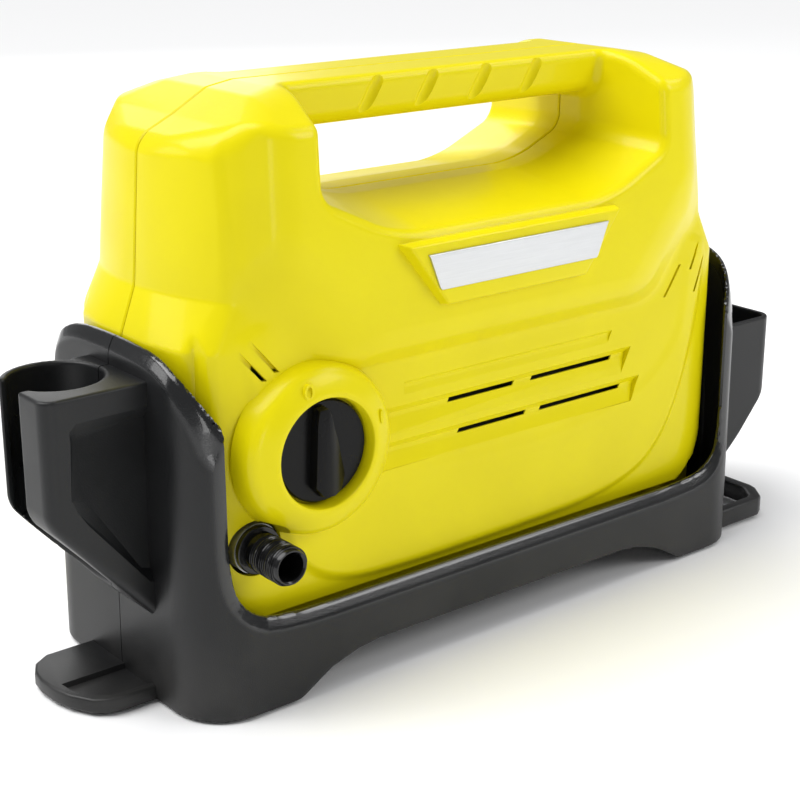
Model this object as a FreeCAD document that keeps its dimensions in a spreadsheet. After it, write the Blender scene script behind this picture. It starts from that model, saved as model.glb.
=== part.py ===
"""Compact electric pressure washer, modelled as the pieces it comes apart into.

Frame: +X to the right along the length, the control side faces -Y, +Z up.
The origin is on the ground under the middle of the machine. Millimetres.
The casing and the cradle are each two mouldings that meet at the seam y = 0.
"""
import FreeCAD, Part
import math
import os
import re
import Sketcher

doc = FreeCAD.newDocument("pressure_washer")

# Driving dimensions -----------------------------------------------------------------
DIMENSIONS = {
    # casing
    "wall": 2.8,
    "casing_half_length": 174,
    "casing_floor": 22,
    "panel_depth_low": 61,
    "panel_depth_high": 65,
    "shoulder_height": 192.7,
    "column_height": 258.5,
    "top_height": 277.6,
    "overall_height": 280,
    # cradle
    "cradle_wall": 3.2,
    "cradle_half_length": 183,
    "cradle_half_depth": 74,
    "cradle_rim": 45,
    "cradle_post": 164,
    "cradle_top": 171,
    "foot_gap": 1.5,
    # carrying handle
    "window_half": 98,
    "window_sill": 222.5,
    "window_top": 257,
    "handle_half_depth": 27,
    # belly and name plate
    "belly_low": 165,
    "belly_depth_low": 74.4,
    "belly_depth_high": 65.5,
    "plate_depth": 79,
    # controls and connections
    "dial_across": -114,
    "dial_height": 121,
    "dial_recess": 25.4,
    "outlet_across": -144,
    "outlet_height": 77.5,
    "outlet_radius": 9.2,
    "outlet_bore": 6.75,
    "inlet_radius": 13.2,
    "inlet_bore": 9.5,
    "connection_reach": 88,
    # holsters
    "holster_reach": 232,
    "cup_across": -208,
    "cup_radius": 21.5,
    "cup_top": 158,
    "lance_top": 119,
    # motor and pump
    "motor_height": 122,
    "pump_height": 92,
    "motor_radius": 44,
    "gearbox_radius": 36,
    "shaft_radius": 4,
    "running_gap": 0.05,
    "tooth_module": 1.25,
    "pinion_teeth": 11,
    "wheel_teeth": 37,
    "tooth_backlash": 0.22,
    "swash_tilt": 8,
    "piston_radius": 6,
    "piston_circle": 16,
    "screw_radius": 2,
}

sheet = doc.addObject("Spreadsheet::Sheet", "dims")
for row, (alias, size) in enumerate(DIMENSIONS.items(), start=1):
    sheet.set(f"A{row}", alias)
    sheet.set(f"B{row}", str(size))
    sheet.setAlias(f"B{row}", alias)
doc.recompute()


# Formulas and placing ---------------------------------------------------------------
def sheet_name(match):
    """A dimension's name as the sheet knows it; other words stay as they are."""
    word = match.group(0)
    return f"dims.{word}" if word in DIMENSIONS else word


def formula(text):
    """Turn 'wall + 3' into an expression that reads the sheet."""
    return re.sub(r"[a-z][a-z_]*", sheet_name, str(text))


def value(text):
    """The present value of a formula, in millimetres."""
    return float(sheet.evalExpression(formula(text)))


def bind(obj, **formulas):
    """Tie an object's properties to formulas."""
    for name, text in formulas.items():
        obj.setExpression(name, formula(text))
    return obj


ALONG = {
    "+X": FreeCAD.Rotation(FreeCAD.Vector(0, 1, 0), 90),
    "-X": FreeCAD.Rotation(FreeCAD.Vector(0, 1, 0), -90),
    "+Y": FreeCAD.Rotation(FreeCAD.Vector(1, 0, 0), -90),
    "-Y": FreeCAD.Rotation(FreeCAD.Vector(1, 0, 0), 90),
    "+Z": FreeCAD.Rotation(),
    "-Z": FreeCAD.Rotation(FreeCAD.Vector(1, 0, 0), 180),
}


def put(obj, at, along="+Z"):
    """Place an object's local origin at three formulas, its local Z along a row axis."""
    obj.Placement = FreeCAD.Placement(FreeCAD.Vector(), ALONG[along])
    for letter, text in zip("xyz", at):
        obj.setExpression(f"Placement.Base.{letter}", formula(text))
    return obj


# Shapes -----------------------------------------------------------------------------
def block(name, xs, ys, zs):
    """A box between pairs of formulas."""
    box = doc.addObject("Part::Box", name)
    sizes = [f"({high}) - ({low})" for low, high in (xs, ys, zs)]
    bind(box, Length=sizes[0], Width=sizes[1], Height=sizes[2])
    return put(box, (xs[0], ys[0], zs[0]))


def rod(name, radius, length, at, along):
    """A round bar from a start point, along a row axis."""
    bar = doc.addObject("Part::Cylinder", name)
    bind(bar, Radius=radius, Height=length)
    return put(bar, at, along)


def cone(name, first, second, length, at, along):
    """A tapered bar: first radius at the start point, second at the far end."""
    taper = doc.addObject("Part::Cone", name)
    bind(taper, Radius1=first, Radius2=second, Height=length)
    return put(taper, at, along)


def fuse(name, *parts):
    """One solid from several that touch or overlap."""
    joined = doc.addObject("Part::MultiFuse", name)
    joined.Shapes = list(parts)
    joined.Refine = True
    return joined


def cut(name, base, *tools):
    """The base with every tool taken away."""
    carved = doc.addObject("Part::Cut", name)
    carved.Base = base
    carved.Tool = tools[0] if len(tools) == 1 else fuse(name + "_tools", *tools)
    return carved


def common(name, first, second):
    """What two solids share."""
    shared = doc.addObject("Part::Common", name)
    shared.Base = first
    shared.Tool = second
    return shared


def mirror(name, source):
    """The same piece on the other side of the seam."""
    twin = doc.addObject("Part::Mirroring", name)
    twin.Source = source
    twin.Normal = FreeCAD.Vector(0, 1, 0)
    return twin


def group(name, parts):
    """Identical or paired pieces kept as separate solids in one node."""
    bundle = doc.addObject("Part::Compound", name)
    bundle.Links = list(parts)
    return bundle


def tube(name, outer, inner, length, at, along):
    """A ring or sleeve."""
    outside = rod(name + "_outside", outer, length, at, along)
    inside = rod(name + "_inside", inner, length, at, along)
    return cut(name, outside, inside)


def draw(sketch, points):
    """Closed outline of straight edges; every corner is dimensioned from the origin."""
    corners = [FreeCAD.Vector(value(across), value(up), 0) for across, up in points]
    for index, corner in enumerate(corners):
        sketch.addGeometry(Part.LineSegment(corner, corners[(index + 1) % len(corners)]), False)
    for index in range(len(corners)):
        follows = (index + 1) % len(corners)
        sketch.addConstraint(Sketcher.Constraint("Coincident", index, 2, follows, 1))
    for index, pair in enumerate(points):
        for letter, axis, text in zip("XY", (-2, -1), pair):
            if value(text) == 0:
                sketch.addConstraint(Sketcher.Constraint("PointOnObject", index, 1, axis))
                continue
            rule = Sketcher.Constraint("Distance" + letter, -1, 1, index, 1, value(text))
            number = sketch.addConstraint(rule)
            sketch.setExpression(f"Constraints[{number}]", formula(text))
    return sketch


PLANES = {"XY": "XY_Plane", "XZ": "XZ_Plane", "YZ": "YZ_Plane"}


def prism(name, plane, points, start, end):
    """A padded outline. Start and end are measured along +Z, -Y or +X of the plane."""
    body = doc.addObject("PartDesign::Body", name)
    sketch = body.newObject("Sketcher::SketchObject", name + "_outline")
    role = PLANES[plane]
    origin = [feature for feature in body.Origin.OriginFeatures if feature.Role == role][0]
    sketch.AttachmentSupport = [(origin, "")]
    sketch.MapMode = "FlatFace"
    sketch.setExpression("AttachmentOffset.Base.z", formula(start))
    draw(sketch, points)
    pad = body.newObject("PartDesign::Pad", name + "_pad")
    pad.Profile = sketch
    bind(pad, Length=f"({end}) - ({start})")
    return body


TURNS = {
    "XY": FreeCAD.Rotation(),
    "XZ": FreeCAD.Rotation(FreeCAD.Vector(1, 0, 0), 90),
    "YZ": FreeCAD.Rotation(FreeCAD.Vector(1, 1, 1), 120),
}
LEVELS = {"XY": ("z", 1), "XZ": ("y", -1), "YZ": ("x", 1)}


def loft(name, plane, sections):
    """Ruled solid through outlines at rising levels along +Z, -Y or +X of the plane."""
    outlines = []
    letter, sign = LEVELS[plane]
    for index, (level, points) in enumerate(sections):
        sketch = doc.addObject("Sketcher::SketchObject", f"{name}_section{index}")
        sketch.Placement = FreeCAD.Placement(FreeCAD.Vector(), TURNS[plane])
        sketch.setExpression(f"Placement.Base.{letter}", formula(f"{sign} * ({level})"))
        outlines.append(draw(sketch, points))
    skin = doc.addObject("Part::Loft", name)
    skin.Sections = outlines
    skin.Solid = True
    skin.Ruled = True
    return skin


def both_sides(points):
    """Complete a symmetric outline from its right half, listed from top to bottom."""
    return list(points) + [(f"-({across})", up) for across, up in reversed(points)]


FAR = 300
NODES = {}


def keep(name, obj):
    """Register a finished sub-part: its Label is its node's name."""
    obj.Label = name
    NODES[name] = obj
    return obj


# Casing: a yellow shell in two halves -----------------------------------------------
def plan(half_length, corner, depth, inset):
    """Half plan outline of the casing: end face, end facet, corner facet, front."""
    end_step, mid_across, mid_depth, front_half = corner
    edge = f"{half_length} - {inset}"
    right = [
        (edge, "0"),
        (edge, f"-({end_step})"),
        (f"{mid_across} - 0.8 * {inset}", f"-({mid_depth} - 0.6 * {inset})"),
        (f"{front_half} - 0.4 * {inset}", f"-({depth} - {inset})"),
    ]
    return right + [(f"-({across})", up) for across, up in reversed(right)]


def casing_body(name, inset):
    """Outer form of the front half, or with an inset the space inside it."""
    levels = (
        (f"casing_floor + {inset}", ("casing_half_length", (36, 165, 54, 148), "panel_depth_low")),
        (f"171 - 0.4 * {inset}", ("casing_half_length", (36, 165, 55, 146), "panel_depth_high")),
        (f"shoulder_height - 0.2 * {inset}", ("166", (28, 153.5, 54, 127), "panel_depth_high")),
        (f"column_height - 0.6 * {inset}", ("161", (26, 149, 43, 122), "64")),
        ("267 - 0.8 * " + str(inset), ("143", (26, 138, 38, 116), "63")),
        (f"top_height - {inset}", ("124", (24, 119, 33, 103), "41")),
        (f"overall_height - {inset}", ("110", (16, 106, 22, 90), "27")),
    )
    sections = []
    for level, (half_length, corner, depth) in levels:
        sections.append((level, plan(half_length, corner, depth, inset)))
    column = loft(name + "_column", "XY", sections)
    outline = both_sides([
        (f"127 - {inset}", f"267 - {inset}"),
        (f"129 - {inset}", "212"),
        ("88", f"belly_low + {inset}"),
    ])
    slab = prism(name + "_belly_slab", "XZ", outline, "30", "90")
    lean = [
        ("-30", "150"),
        (f"-(belly_depth_low + 1.3 - {inset})", "150"),
        (f"-(belly_depth_high - {inset})", "267"),
        ("-30", "267"),
    ]
    front = prism(name + "_belly_lean", "YZ", lean, "-140", "140")
    belly = common(name + "_belly", slab, front)
    return fuse(name, column, belly)


def handle_space(name, grown):
    """The carrying window with its sloped sill, and the room in front of the handle bar."""
    side = f"window_half + {grown}"
    near = [
        (side, f"window_top + {grown}"),
        (side, "238"),
        ("65", f"window_sill - {grown}"),
    ]
    window = prism(name + "_window", "XZ", both_sides(near), "-1", "16")
    wide = [
        (f"112 + {grown}", f"window_top + {grown}"),
        (f"112 + {grown}", "232"),
        ("78", f"211 - {grown}"),
    ]
    sill = loft(name + "_sill", "XZ", [("15", both_sides(near)), ("85", both_sides(wide))])
    low = f"250 - {grown}"
    bar_near = [(f"100 + {grown}", "300"), (f"100 + {grown}", low)]
    bar_wide = [(f"124 + {grown}", "300"), (f"124 + {grown}", low)]
    start = f"handle_half_depth - {grown}"
    bar = loft(name + "_bar", "XZ", [(start, both_sides(bar_near)), ("85", both_sides(bar_wide))])
    return fuse(name, window, sill, bar)


SCREW_PLACES = [(-150, 40), (0, 45), (150, 40), (-118, 172), (135, 150), (-141, 236), (141, 236)]
outer = casing_body("casing_outer", 0)
inner = casing_body("casing_inner", "wall")
space = handle_space("handle_space", 0)
space_walls = handle_space("handle_space_walls", "wall")
hollow = cut("casing_hollow", inner, space_walls)


def bosses(name, radius):
    """Screw pillars from the seam out to the wall, trimmed to the casing's outside."""
    pillars = []
    for index, (across, height) in enumerate(SCREW_PLACES):
        pillars.append(rod(f"{name}{index}", radius, "80", (across, "0", height), "-Y"))
    return common(name, fuse(name + "_pillars", *pillars), outer)


def holes(name, radius, start, end):
    """Round holes on the screw lines, start and end measured out from the seam."""
    drills = []
    for index, (across, height) in enumerate(SCREW_PLACES):
        length = f"({end}) - ({start})"
        drills.append(rod(f"{name}{index}", radius, length, (across, f"-({start})", height), "-Y"))
    return fuse(name, *drills)


FLOOR_SCREWS = [(across, depth) for across in (-70, 70) for depth in (-38, 38)]
floor_pillars = [
    rod(f"floor_pillar{index}", "5", "14", (across, depth, "casing_floor + 1"), "+Z")
    for index, (across, depth) in enumerate(FLOOR_SCREWS[::2])
]
floor_drills = [
    rod(f"floor_drill{index}", "screw_radius", "13", (across, depth, "casing_floor - 1"), "+Z")
    for index, (across, depth) in enumerate(FLOOR_SCREWS[::2])
]
bare_half = cut("bare_half", cut("outer_with_window", outer, space), hollow)

# Front half: dial boss, plinth, outlet hole and air slots.
boss_skirt = cone("boss_skirt", "42.4", "39", "9", ("dial_across", "-62", "dial_height"), "-Y")
boss_rim = cone("boss_rim", "37.4", "28.2", "5.7", ("dial_across", "-70.8", "dial_height"), "-Y")
boss_hollow = cone("boss_hollow", "40.2", "36", "9", ("dial_across", "-59", "dial_height"), "-Y")
boss_pot = rod("boss_pot", "dial_recess + wall", "14", ("dial_across", "-64.2", "dial_height"), "-Y")
boss_recess = rod("boss_recess", "dial_recess", "20", ("dial_across", "-67", "dial_height"), "-Y")
boss_shaft_hole = rod("boss_shaft_hole", "5.2", "20", ("dial_across", "-60", "dial_height"), "-Y")
plinth_base = both_sides([("71", "209"), ("49", "178")])
plinth_top = both_sides([("61", "207"), ("51", "184")])
plinth = loft("plinth", "XZ", [("66", plinth_base), ("plate_depth - 1.4", plinth_top)])
outlet_hole = rod("outlet_hole", "12.5", "60", ("outlet_across", "-40", "outlet_height"), "-Y")
AIR_SLOT_HALF = 1.2
AIR_SLOTS = ((-31, 12, 125), (24, 81, 125), (-24, 21, 107.5), (31, 89, 107.5))
slots = []
for index, (left, right, height) in enumerate(AIR_SLOTS):
    gap = (height - AIR_SLOT_HALF, height + AIR_SLOT_HALF)
    slots.append(block(f"air_slot{index}", (left, right), ("-90", "-55"), gap))
front_solid = cut(
    "front_solid",
    fuse("front_with_boss", bare_half, boss_skirt, boss_rim, plinth, *floor_pillars),
    boss_hollow,
)
front_pot = fuse("front_pot", front_solid, common("front_pot_wall", boss_pot, boss_skirt), boss_rim)
front_filled = fuse("front_filled", front_pot, bosses("front_boss", "5"))
front_drilled = cut(
    "front_drilled",
    front_filled,
    boss_recess,
    boss_shaft_hole,
    outlet_hole,
    holes("front_pilot", "screw_radius", "-1", "16"),
    *floor_drills,
    *slots,
)
keep("front_shell", front_drilled)

# Rear half: the same moulding mirrored, with screw wells, water inlet and cord holes.
REAR_SLOTS = [(left, left + 56, height) for left in (-30, 40) for height in (107.5, 116.25, 125)]
rear_slots = []
for index, (left, right, height) in enumerate(REAR_SLOTS):
    gap = (height - AIR_SLOT_HALF, height + AIR_SLOT_HALF)
    rear_slots.append(block(f"rear_slot{index}", (left, right), ("-90", "-55"), gap))
inlet_hole = rod("inlet_hole", "15", "60", ("outlet_across", "-40", "pump_height"), "-Y")
gland_hole = rod("gland_hole", "8", "60", ("132", "-40", "62"), "-Y")
rear_filled = fuse("rear_filled", bare_half, bosses("rear_boss", "6.5"), *floor_pillars)
rear_drilled = cut(
    "rear_drilled",
    rear_filled,
    holes("rear_well", "4.3", "11", "90"),
    holes("rear_clear", "screw_radius + 0.2", "-1", "12"),
    inlet_hole,
    gland_hole,
    *floor_drills,
    *rear_slots,
)
keep("rear_shell", mirror("rear_mirrored", rear_drilled))

# Cradle: the black lower frame, two halves --------------------------------------------
def cradle_plan(half_length, half_depth, inset):
    """Half plan outline with a stepped round corner."""
    right = [
        (f"{half_length} - {inset}", "0"),
        (f"{half_length} - {inset}", f"-({half_depth} - 28)"),
        (f"{half_length} - 3.8 - 0.9 * {inset}", f"-({half_depth} - 14 - 0.3 * {inset})"),
        (f"{half_length} - 14 - 0.6 * {inset}", f"-({half_depth} - 3.8 - 0.7 * {inset})"),
        (f"{half_length} - 28", f"-({half_depth} - {inset})"),
    ]
    return right + [(f"-({across})", up) for across, up in reversed(right)]


cradle_outer = loft("cradle_outer", "XY", [
    ("foot_gap", cradle_plan("cradle_half_length", "cradle_half_depth", 0)),
    ("cradle_top + 4", cradle_plan("(cradle_half_length - 2)", "(cradle_half_depth - 1)", 0)),
])
cradle_inner = loft("cradle_inner", "XY", [
    ("casing_floor", cradle_plan("cradle_half_length", "cradle_half_depth", "cradle_wall")),
    (
        "cradle_top + 30",
        cradle_plan("(cradle_half_length - 2.4)", "(cradle_half_depth - 1)", "cradle_wall"),
    ),
])
front_opening = prism("front_opening", "XZ", both_sides([
    ("cradle_post", str(FAR)),
    ("cradle_post", "66"),
    ("157", "53"),
    ("140", "cradle_rim"),
]), "50", "100")
top_sweep = prism("top_sweep", "YZ", [
    ("10", "cradle_top"),
    ("-10", "cradle_top"),
    ("-34", "cradle_top - 3"),
    ("-50", "cradle_top - 10"),
    ("-62", "cradle_top - 21"),
    ("-70", "cradle_top - 44"),
    ("-90", "cradle_top - 46"),
    ("-90", str(FAR)),
    ("10", str(FAR)),
], "-200", "200")
underside_arch = prism("underside_arch", "XZ", both_sides([
    ("90", "18.5"),
    ("112", "13"),
    ("134", "-1"),
]), "-1", "100")


foot_plan = cradle_plan("cradle_half_length - 0.5", "cradle_half_depth - 0.3", "cradle_wall")
foot_inside = loft("foot_inside", "XY", [("-2", foot_plan), ("20", foot_plan)])


def foot_hollow(name, side):
    """Room under one foot, open to the ground."""
    room = [("190", "-1"), ("190", "18.5"), ("108", "18.5"), ("122", "13"), ("141", "-1")]
    points = [(f"{side} * ({across})", up) for across, up in room]
    return common(name, prism(name + "_wedge", "XZ", points, "-1", "90"), foot_inside)


FOOT_PLACES = [(across, depth) for across in (-160, 160) for depth in (-50, 50)]
foot_studs = [
    rod(f"foot_stud{index}", "8", "16", (across, depth, "3"), "+Z")
    for index, (across, depth) in enumerate(FOOT_PLACES[::2])
]
cradle_drills = [
    rod(f"cradle_drill{index}", "screw_radius + 0.1", "30", (across, depth, "0"), "+Z")
    for index, (across, depth) in enumerate(FLOOR_SCREWS[::2])
]
cradle_carved = cut(
    "cradle_carved",
    cradle_outer,
    cradle_inner,
    front_opening,
    top_sweep,
    underside_arch,
    foot_hollow("foot_hollow_left", -1),
    foot_hollow("foot_hollow_right", 1),
    *cradle_drills,
)
cradle_half = keep("cradle_front", fuse("cradle_studded", cradle_carved, *foot_studs))
keep("cradle_rear", mirror("cradle_mirrored", cradle_half))

# Gun holster on the left end: a cup open towards the end, in two halves ----------------
cup_points = [
    ("-170", "0"),
    ("-170", "-33.5"),
    ("-218", "-33.5"),
    ("-(holster_reach - 3.5)", "-25"),
    ("-holster_reach", "-14"),
    ("-holster_reach", "0"),
]
cup_block = prism("cup_block", "XY", cup_points, "44", "cup_top")
cup_room_points = [
    ("-170", "0"),
    ("-170", "-30.5"),
    ("-217", "-30.5"),
    ("-(holster_reach - 6)", "-23.5"),
    ("-(holster_reach - 3)", "-13.5"),
    ("-(holster_reach - 3)", "0"),
]
cup_room_block = prism("cup_room_block", "XY", cup_room_points, "40", "cup_top - 3")
cup_wall = rod("cup_wall", "cup_radius + 3", "140", ("cup_across", "0", "30"), "+Z")
cup_lip = block("cup_lip", ("-240", "-222"), ("-13.5", "0"), ("30", "170"))
cup_back = block("cup_back", ("-186.5", "-170"), ("-20", "0"), ("30", "170"))
cup_room = cut("cup_room", cup_room_block, cup_wall, cup_lip, cup_back)
cup_bore = rod("cup_bore", "cup_radius", "170", ("cup_across", "0", "20"), "+Z")
cup_slot = block("cup_slot", ("-240", "cup_across"), ("-10.5", "5"), ("20", "190"))
cup_slope = prism("cup_slope", "XZ", [
    ("-250", "100"),
    ("-holster_reach", "100"),
    ("-184", "47"),
    ("-160", "47"),
    ("-160", "20"),
    ("-250", "20"),
], "-40", "60")
cup_panel = prism("cup_panel", "XZ", [
    ("-191", "146.5"),
    ("-221", "145"),
    ("-222", "113"),
    ("-203", "82"),
    ("-191", "70"),
], "33", "40")
cup_half = keep("gun_holster_front", cut(
    "cup_carved", cup_block, cup_room, cup_bore, cup_slot, cup_slope, cup_panel, cradle_outer,
))

# Behind the seam the cup is only a thin round wall with a web to the cradle.
far_wall = rod("far_wall", "cup_radius + 3.3", "114", ("cup_across", "0", "44"), "+Z")
far_wall_side = block("far_wall_side", ("-240", "-170"), ("-40", "0"), (40, 160))
far_web = block("far_web", ("-190", "-170"), ("-20", "0"), ("44", "cup_top"))
far_round = fuse("far_round", common("far_wall_half", far_wall, far_wall_side), far_web)
keep("gun_holster_rear", mirror("cup_mirrored", cut(
    "far_carved", far_round, cup_bore, cup_slot, cup_slope, cradle_outer,
)))

# Lance holster on the right end: a low open pocket, in two halves ---------------------
LANCE_DEPTH = 47
pocket_profile = [
    ("170", "lance_top"),
    ("holster_reach", "lance_top"),
    ("holster_reach", "77"),
    ("201", "42"),
    ("186", "30"),
    ("170", "30"),
]
pocket_room_profile = [
    ("187", str(FAR)),
    ("holster_reach - 3", str(FAR)),
    ("holster_reach - 3", "78.5"),
    ("199.5", "45.5"),
    ("187", "40"),
]
pocket_solid = prism("pocket_solid", "XZ", pocket_profile, "0", str(LANCE_DEPTH))
pocket_corner = prism("pocket_corner", "XY", [
    ("150", "5"),
    ("240", "5"),
    ("240", f"-({LANCE_DEPTH} - 12)"),
    ("holster_reach", f"-({LANCE_DEPTH} - 12)"),
    ("holster_reach - 3.5", f"-({LANCE_DEPTH} - 3.5)"),
    ("holster_reach - 12", str(-LANCE_DEPTH)),
    ("150", str(-LANCE_DEPTH)),
], "20", "130")
pocket_room = prism("pocket_room", "XZ", pocket_room_profile, "-5", str(LANCE_DEPTH - 3))
pocket_panel = prism("pocket_panel", "XZ", [
    ("192", "110"),
    ("222", "110"),
    ("222", "82"),
    ("200", "56"),
    ("192", "52"),
], str(LANCE_DEPTH - 0.8), "60")
pocket_half = keep("lance_holster_front", cut(
    "pocket_carved",
    common("pocket_rounded", pocket_solid, pocket_corner),
    pocket_room,
    pocket_panel,
    cradle_outer,
))
keep("lance_holster_rear", mirror("pocket_mirrored", pocket_half))

# Side tongue, hose loop and rubber feet at ground level --------------------------------
tongue_plan = [
    ("-175", "30"),
    ("-208", "30"),
    ("-219", "20"),
    ("-222", "8"),
    ("-220", "-12"),
    ("-212", "-26"),
    ("-200", "-31"),
    ("-175", "-31"),
]
tongue_plate = prism("tongue_plate", "XY", tongue_plan, "foot_gap", "9")
tongue_tray = prism("tongue_tray", "XY", [
    ("-165", "-2"),
    ("-217", "-2"),
    ("-216", "-12"),
    ("-209.5", "-22.5"),
    ("-199", "-27.5"),
    ("-165", "-27.5"),
], "5.5", "12")
tongue_underside = prism("tongue_underside", "XY", [
    ("-165", "26.5"),
    ("-207", "26.5"),
    ("-215", "18"),
    ("-218", "8"),
    ("-216", "-12"),
    ("-209.5", "-22.5"),
    ("-199", "-27.5"),
    ("-165", "-27.5"),
], "-1", "3.3")
cradle_whole = fuse("cradle_whole", cradle_outer, mirror("cradle_outer_rear", cradle_outer))
keep("side_tongue", cut("tongue_carved", tongue_plate, tongue_tray, tongue_underside, cradle_whole))
loop_outside = prism("loop_outside", "XY", [
    ("165", "-62"),
    ("165", "62"),
    ("214", "62"),
    ("226", "46"),
    ("226", "-46"),
    ("214", "-62"),
], "2", "13")
loop_inside = prism("loop_inside", "XY", [
    ("160", "-55"),
    ("160", "55"),
    ("210.5", "55"),
    ("219", "43"),
    ("219", "-43"),
    ("210.5", "-55"),
], "0", "15")
keep("hose_loop", cut("loop_carved", loop_outside, loop_inside, cradle_whole))
foot_pads = []
for index, (across, depth) in enumerate(FOOT_PLACES):
    foot_pads.append(rod(f"foot_pad{index}", "9", "3", (across, depth, "0"), "+Z"))
keep("foot_pads", group("foot_pad_set", foot_pads))

# Rotary switch with its dial knob ------------------------------------------------------
dial_disc = rod("dial_disc", "dial_recess - 0.8", "3.5", ("dial_across", "-68", "dial_height"), "-Y")
DIAL_BAR = [(-2.6, 23), (2.6, 23), (6, 8), (9.7, -15), (6, -21), (-6, -21), (-9.7, -15), (-6, 8)]
DIAL_LEAN = math.radians(7.2)
bar_points = []
for right, up in DIAL_BAR:
    across = right * math.cos(DIAL_LEAN) - up * math.sin(DIAL_LEAN)
    height = right * math.sin(DIAL_LEAN) + up * math.cos(DIAL_LEAN)
    bar_points.append((f"dial_across + {across:.2f}", f"dial_height + {height:.2f}"))
dial_bar = prism("dial_bar", "XZ", bar_points, "71", "77.5")
dial_bore = rod("dial_bore", "4", "7", ("dial_across", "-67", "dial_height"), "-Y")
keep("dial_knob", cut("dial_carved", fuse("dial_solid", dial_disc, dial_bar), dial_bore))
keep("switch_shaft", rod("switch_rod", "4", "29", ("dial_across", "-45", "dial_height"), "-Y"))
switch_box = block(
    "switch_box",
    ("dial_across - 17", "dial_across + 17"),
    ("-64.2", "-38"),
    ("dial_height - 17", "dial_height + 17"),
)
switch_bore = rod("switch_bore", "4 + running_gap", "22", ("dial_across", "-44", "dial_height"), "-Y")
keep("rotary_switch", cut("switch_carved", switch_box, switch_bore))

# Name plate and the dust sheet behind the air slots ------------------------------------
plate_outline = both_sides([("58", "204.5"), ("50", "187")])
keep("name_plate", prism("plate", "XZ", plate_outline, "plate_depth - 1.4", "plate_depth"))
baffle_sheet = block("baffle_sheet", (-48, 102), ("-52", "-50"), (94, 140))
baffle_low = block("baffle_low", (-48, 102), ("-58", "-50"), (94, 96))
baffle_high = block("baffle_high", (-48, 102), ("-58", "-50"), (138, 140))
keep("air_baffle", fuse("baffle_joined", baffle_sheet, baffle_low, baffle_high))


# Motor: everything here is round about the motor axis ----------------------------------
def on_motor(name, radius, start, end):
    return rod(name, radius, f"({end}) - ({start})", (start, "0", "motor_height"), "+X")


def motor_ring(name, outer_radius, inner_radius, start, end):
    return cut(name, on_motor(name + "_rim", outer_radius, start, end),
               on_motor(name + "_eye", inner_radius, start, end))


def on_pump(name, radius, start, end, angle=None, circle="piston_circle"):
    """A bar along X on the pump axis, or on a circle around it at an angle in degrees."""
    depth, height = "0", "pump_height"
    if angle is not None:
        depth = f"({circle}) * {math.cos(math.radians(angle)):.6f}"
        height = f"pump_height + ({circle}) * {math.sin(math.radians(angle)):.6f}"
    return rod(name, radius, f"({end}) - ({start})", (start, depth, height), "+X")


AIR_HOLES = [rod(f"motor_air{index}", "8", "20", ("92", f"{27 * math.cos(index * math.pi / 3):.3f}",
             f"motor_height + {27 * math.sin(index * math.pi / 3):.3f}"), "+X") for index in range(6)]
motor_case = fuse(
    "motor_case",
    motor_ring("motor_sleeve", "motor_radius", "motor_radius - 2.5", "-30", "106"),
    on_motor("motor_front_wall", "motor_radius", "-30", "-22"),
    on_motor("motor_rear_wall", "motor_radius", "98", "106"),
)
keep("motor_housing", cut(
    "motor_case_carved",
    motor_case,
    on_motor("front_bearing_seat", "11", "-29", "-21"),
    on_motor("rear_bearing_seat", "11", "97", "105"),
    on_motor("front_shaft_hole", "shaft_radius + 1.5", "-31", "-20"),
    block("brush_air", (64, 82), (-14, 14), ("motor_height - 60", "motor_height + 60")),
    block("fan_air", (84.5, 96), (-60, -30), ("motor_height - 22", "motor_height + 22")),
    *AIR_HOLES,
))
keep("front_bearing", motor_ring("front_race", "11", "shaft_radius + running_gap", "-29", "-22"))
keep("rear_bearing", motor_ring("rear_race", "11", "shaft_radius + running_gap", "98", "105"))
coil_slots = [
    block("coil_slot_front", (0, 65), (-36.2, -20), ("motor_height - 13.2", "motor_height + 13.2")),
    block("coil_slot_rear", (0, 65), (20, 36.2), ("motor_height - 13.2", "motor_height + 13.2")),
]
keep("stator_core", cut(
    "stator_carved",
    on_motor("stator_stack", "motor_radius - 2.6", "5", "60"),
    on_motor("stator_bore", "24.5", "4", "61"),
    *coil_slots,
))


def field_coil(name, side):
    """One winding round a pole: two straight sides joined by half rings past the stack."""
    low, high = sorted((side * 2, side * 50))
    limits = (f"motor_height + {low}", f"motor_height + {high}")
    half = block(name + "_half", (-20, 90), (-50, 50), limits)
    near = common(name + "_near", motor_ring(name + "_ring0", "36", "26", "-4", "5"), half)
    halves = block(name + "_half2", (-20, 90), (-50, 50), limits)
    far = common(name + "_far", motor_ring(name + "_ring1", "36", "26", "60", "69"), halves)
    low, high = sorted((side * 2, side * 13))
    limits = (f"motor_height + {low}", f"motor_height + {high}")
    front = block(name + "_front", (5, 60), (-36, -26), limits)
    rear = block(name + "_rear", (5, 60), (26, 36), limits)
    return fuse(name, near, far, front, rear)


keep("field_coils", group("coil_pair", [field_coil("coil_top", 1), field_coil("coil_bottom", -1)]))
keep("armature_core", motor_ring("armature_stack", "23.9", "shaft_radius", "7", "58"))
keep("armature_winding", group("winding_ends", [
    motor_ring("winding_near", "21", "shaft_radius + 1", "-3", "7"),
    motor_ring("winding_far", "21", "shaft_radius + 1", "58", "65"),
]))
keep("motor_shaft", on_motor("rotor_rod", "shaft_radius", "-56", "104.5"))
keep("commutator", motor_ring("commutator_bars", "13", "shaft_radius", "66", "80"))

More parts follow.
